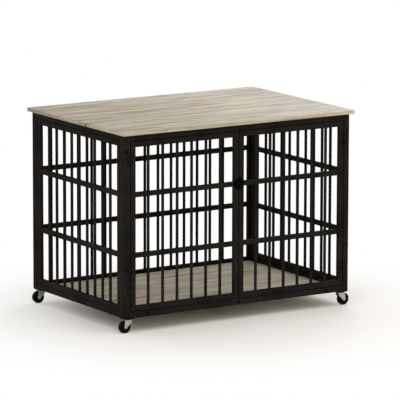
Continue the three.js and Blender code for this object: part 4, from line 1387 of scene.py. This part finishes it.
class CRATE_OT_fixings(bpy.types.Operator):
    """Makes the bolts, the floor straps and the floor brackets"""
    bl_idname = "crate.fixings"
    bl_label = "Bolts, straps and brackets"

    def execute(self, context):
        bolt_set("post_bolts", "post_bolt")
        bolt_set("foot_bolts", "foot_bolt")
        floor_straps()
        floor_brackets()
        return {"FINISHED"}


class CRATE_OT_plain_finishes(bpy.types.Operator):
    """Gives the CAD pieces that no maker replaced their finish"""
    bl_idname = "crate.plain_finishes"
    bl_label = "Kept pieces"

    def execute(self, context):
        finish_by_slot = {"powder_coated_steel": "powder", "blackened_bolt_steel": "fitting",
                          "zinc_plated_steel": "zinc", "black_caster_tread": "tread"}
        slot_of = {row["node"]: row["material_slot"] for row in frame["record"]["subparts"]}
        for node, piece in NODES.items():
            if piece.hide_render:
                continue
            key = finish_by_slot.get(slot_of[node], "top")
            piece.data.materials.clear()
            piece.data.materials.append(material(key))
        return {"FINISHED"}


# ------------------------------------------------------------------ stage


def seen_directly(tree):
    """1 for rays of the camera, of gloss and of glass, which see the plain white background."""
    path = add_node(tree, "ShaderNodeLightPath")
    gloss = add_node(tree, "ShaderNodeMath", {"operation": "MAXIMUM"},
                     {0: path.outputs["Is Camera Ray"], 1: path.outputs["Is Glossy Ray"]})
    either = add_node(tree, "ShaderNodeMath", {"operation": "MAXIMUM"},
                      {0: gloss.outputs[0], 1: path.outputs["Is Transmission Ray"]})
    return either.outputs[0]


def make_floor():
    """Pale floor. Away from the crate the camera and reflections see it fade to the white background."""
    mesh = bmesh.new()
    bmesh.ops.create_grid(mesh, x_segments=1, y_segments=1, size=30)
    floor_material, tree, shader = new_material("pale_matt_studio_floor")
    shader.inputs["Base Color"].default_value = rgba(stage().floor_colour)
    shader.inputs["Roughness"].default_value = 0.9
    shader.inputs["Specular IOR Level"].default_value = 0.1
    placed = object_coordinates(tree, (1, 1, 1), (0, 0.2, 0))
    length = add_node(tree, "ShaderNodeVectorMath", {"operation": "LENGTH"}, {0: placed})
    far = add_node(tree, "ShaderNodeMapRange", {"From Min": 0.35, "From Max": 1.3, "interpolation_type": "SMOOTHSTEP"},
                   {"Value": length.outputs["Value"]})
    share = add_node(tree, "ShaderNodeMath", {"operation": "MULTIPLY"}, {0: far.outputs["Result"], 1: seen_directly(tree)})
    white = add_node(tree, "ShaderNodeEmission", {"Color": (1, 1, 1, 1), "Strength": 1.0})
    mixed = add_node(tree, "ShaderNodeMixShader", links={0: share.outputs[0], 1: shader.outputs["BSDF"],
                                                          2: white.outputs["Emission"]})
    output = next(n for n in tree.nodes if n.type == "OUTPUT_MATERIAL")
    tree.links.new(mixed.outputs["Shader"], output.inputs["Surface"])
    data = bpy.data.meshes.new("studio_floor")
    mesh.to_mesh(data)
    mesh.free()
    data.materials.append(floor_material)
    floor = bpy.data.objects.new("studio_floor", data)
    bpy.context.scene.collection.objects.link(floor)


def area_light(name, place, aim, size, power, colour=(1, 1, 1)):
    data = bpy.data.lights.new(name, "AREA")
    data.shape = "RECTANGLE"
    data.size, data.size_y = size
    data.energy = power
    data.color = colour
    lamp = bpy.data.objects.new(name, data)
    lamp.location = place
    lamp.rotation_euler = (Vector(aim) - Vector(place)).to_track_quat("-Z", "Y").to_euler()
    bpy.context.scene.collection.objects.link(lamp)
    return lamp


def make_lights():
    values = stage()
    area_light("key_above", (-0.2, -2.0, 3.5), (0, 0, 0.2), (4.0, 3.0), values.key_power)
    area_light("fill_front", (-3.0, -3.6, 1.7), (0, 0, 0.4), (2.6, 2.2), values.fill_power)
    area_light("back_right", (1.9, 1.5, 2.3), (0.2, 0.1, 0.7), (1.4, 1.2), values.rim_power)


def make_world():
    """Even pale light; the camera, gloss and glass see plain white."""
    world = bpy.data.worlds.new("studio")
    bpy.context.scene.world = world
    world.use_nodes = True
    tree = world.node_tree
    tree.nodes.clear()
    lit = add_node(tree, "ShaderNodeBackground", {"Color": (1, 0.985, 0.96, 1), "Strength": stage().world_strength})
    white = add_node(tree, "ShaderNodeBackground", {"Color": (1, 1, 1, 1), "Strength": 1.0})
    mixed = add_node(tree, "ShaderNodeMixShader",
                     links={0: seen_directly(tree), 1: lit.outputs[0], 2: white.outputs[0]})
    output = add_node(tree, "ShaderNodeOutputWorld", links={"Surface": mixed.outputs[0]})
    output.is_active_output = True


def make_camera():
    """Long lens, far away, at the photograph's angle."""
    values = stage()
    yaw, pitch, roll = values.camera_yaw, values.camera_pitch, values.camera_roll
    forward = Vector((-math.sin(yaw) * math.cos(pitch), math.cos(yaw) * math.cos(pitch), -math.sin(pitch)))
    level = forward.cross(Vector((0, 0, 1))).normalized()
    above = level.cross(forward)
    right = level * math.cos(roll) + above * math.sin(roll)
    up = above * math.cos(roll) - level * math.sin(roll)
    target = Vector((0, 0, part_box("front_frame")[0].z))
    place = target - right * values.camera_aim_x - up * values.camera_aim_y - forward * values.camera_distance
    data = bpy.data.cameras.new("photo_camera")
    data.sensor_width = 36
    data.lens = values.camera_lens
    data.clip_end = 60
    camera = bpy.data.objects.new("photo_camera", data)
    turn = Matrix((right, up, -forward)).transposed().to_4x4()
    camera.matrix_world = Matrix.Translation(place) @ turn
    bpy.context.scene.collection.objects.link(camera)
    bpy.context.scene.camera = camera


# ------------------------------------------------------------------ panel in the sidebar

OPERATORS = (CRATE_OT_stage, CRATE_OT_panels, CRATE_OT_doors, CRATE_OT_boards, CRATE_OT_hinges, CRATE_OT_latch,
             CRATE_OT_casters, CRATE_OT_fixings, CRATE_OT_plain_finishes)


class CRATE_PT_tools(bpy.types.Panel):
    """Lists what the crate table's makers can do"""
    bl_label = "Crate table"
    bl_idname = "CRATE_PT_tools"
    bl_space_type = "VIEW_3D"
    bl_region_type = "UI"
    bl_category = "Crate table"

    def draw(self, context):
        for operator in OPERATORS:
            self.layout.operator(operator.bl_idname)
        for group in (context.scene.crate_sizes, context.scene.crate_colours, context.scene.crate_stage):
            column = self.layout.column()
            for name in group.__annotations__:
                column.prop(group, name)


GROUPS = {"crate_sizes": CrateSizes, "crate_colours": CrateColours, "crate_stage": CrateStage}


def register():
    for group in GROUPS.values():
        bpy.utils.register_class(group)
    for name, group in GROUPS.items():
        setattr(bpy.types.Scene, name, PointerProperty(type=group))
    for operator in OPERATORS:
        bpy.utils.register_class(operator)
    bpy.utils.register_class(CRATE_PT_tools)


def unregister():
    bpy.utils.unregister_class(CRATE_PT_tools)
    for operator in reversed(OPERATORS):
        bpy.utils.unregister_class(operator)
    for name, group in GROUPS.items():
        delattr(bpy.types.Scene, name)
        bpy.utils.unregister_class(group)


def main():
    register()
    bpy.ops.crate.stage()
    bpy.ops.crate.panels()
    bpy.ops.crate.doors()
    bpy.ops.crate.boards()
    bpy.ops.crate.hinges()
    bpy.ops.crate.latch()
    bpy.ops.crate.casters()
    bpy.ops.crate.fixings()
    bpy.ops.crate.plain_finishes()


if __name__ == "__main__":
    main()
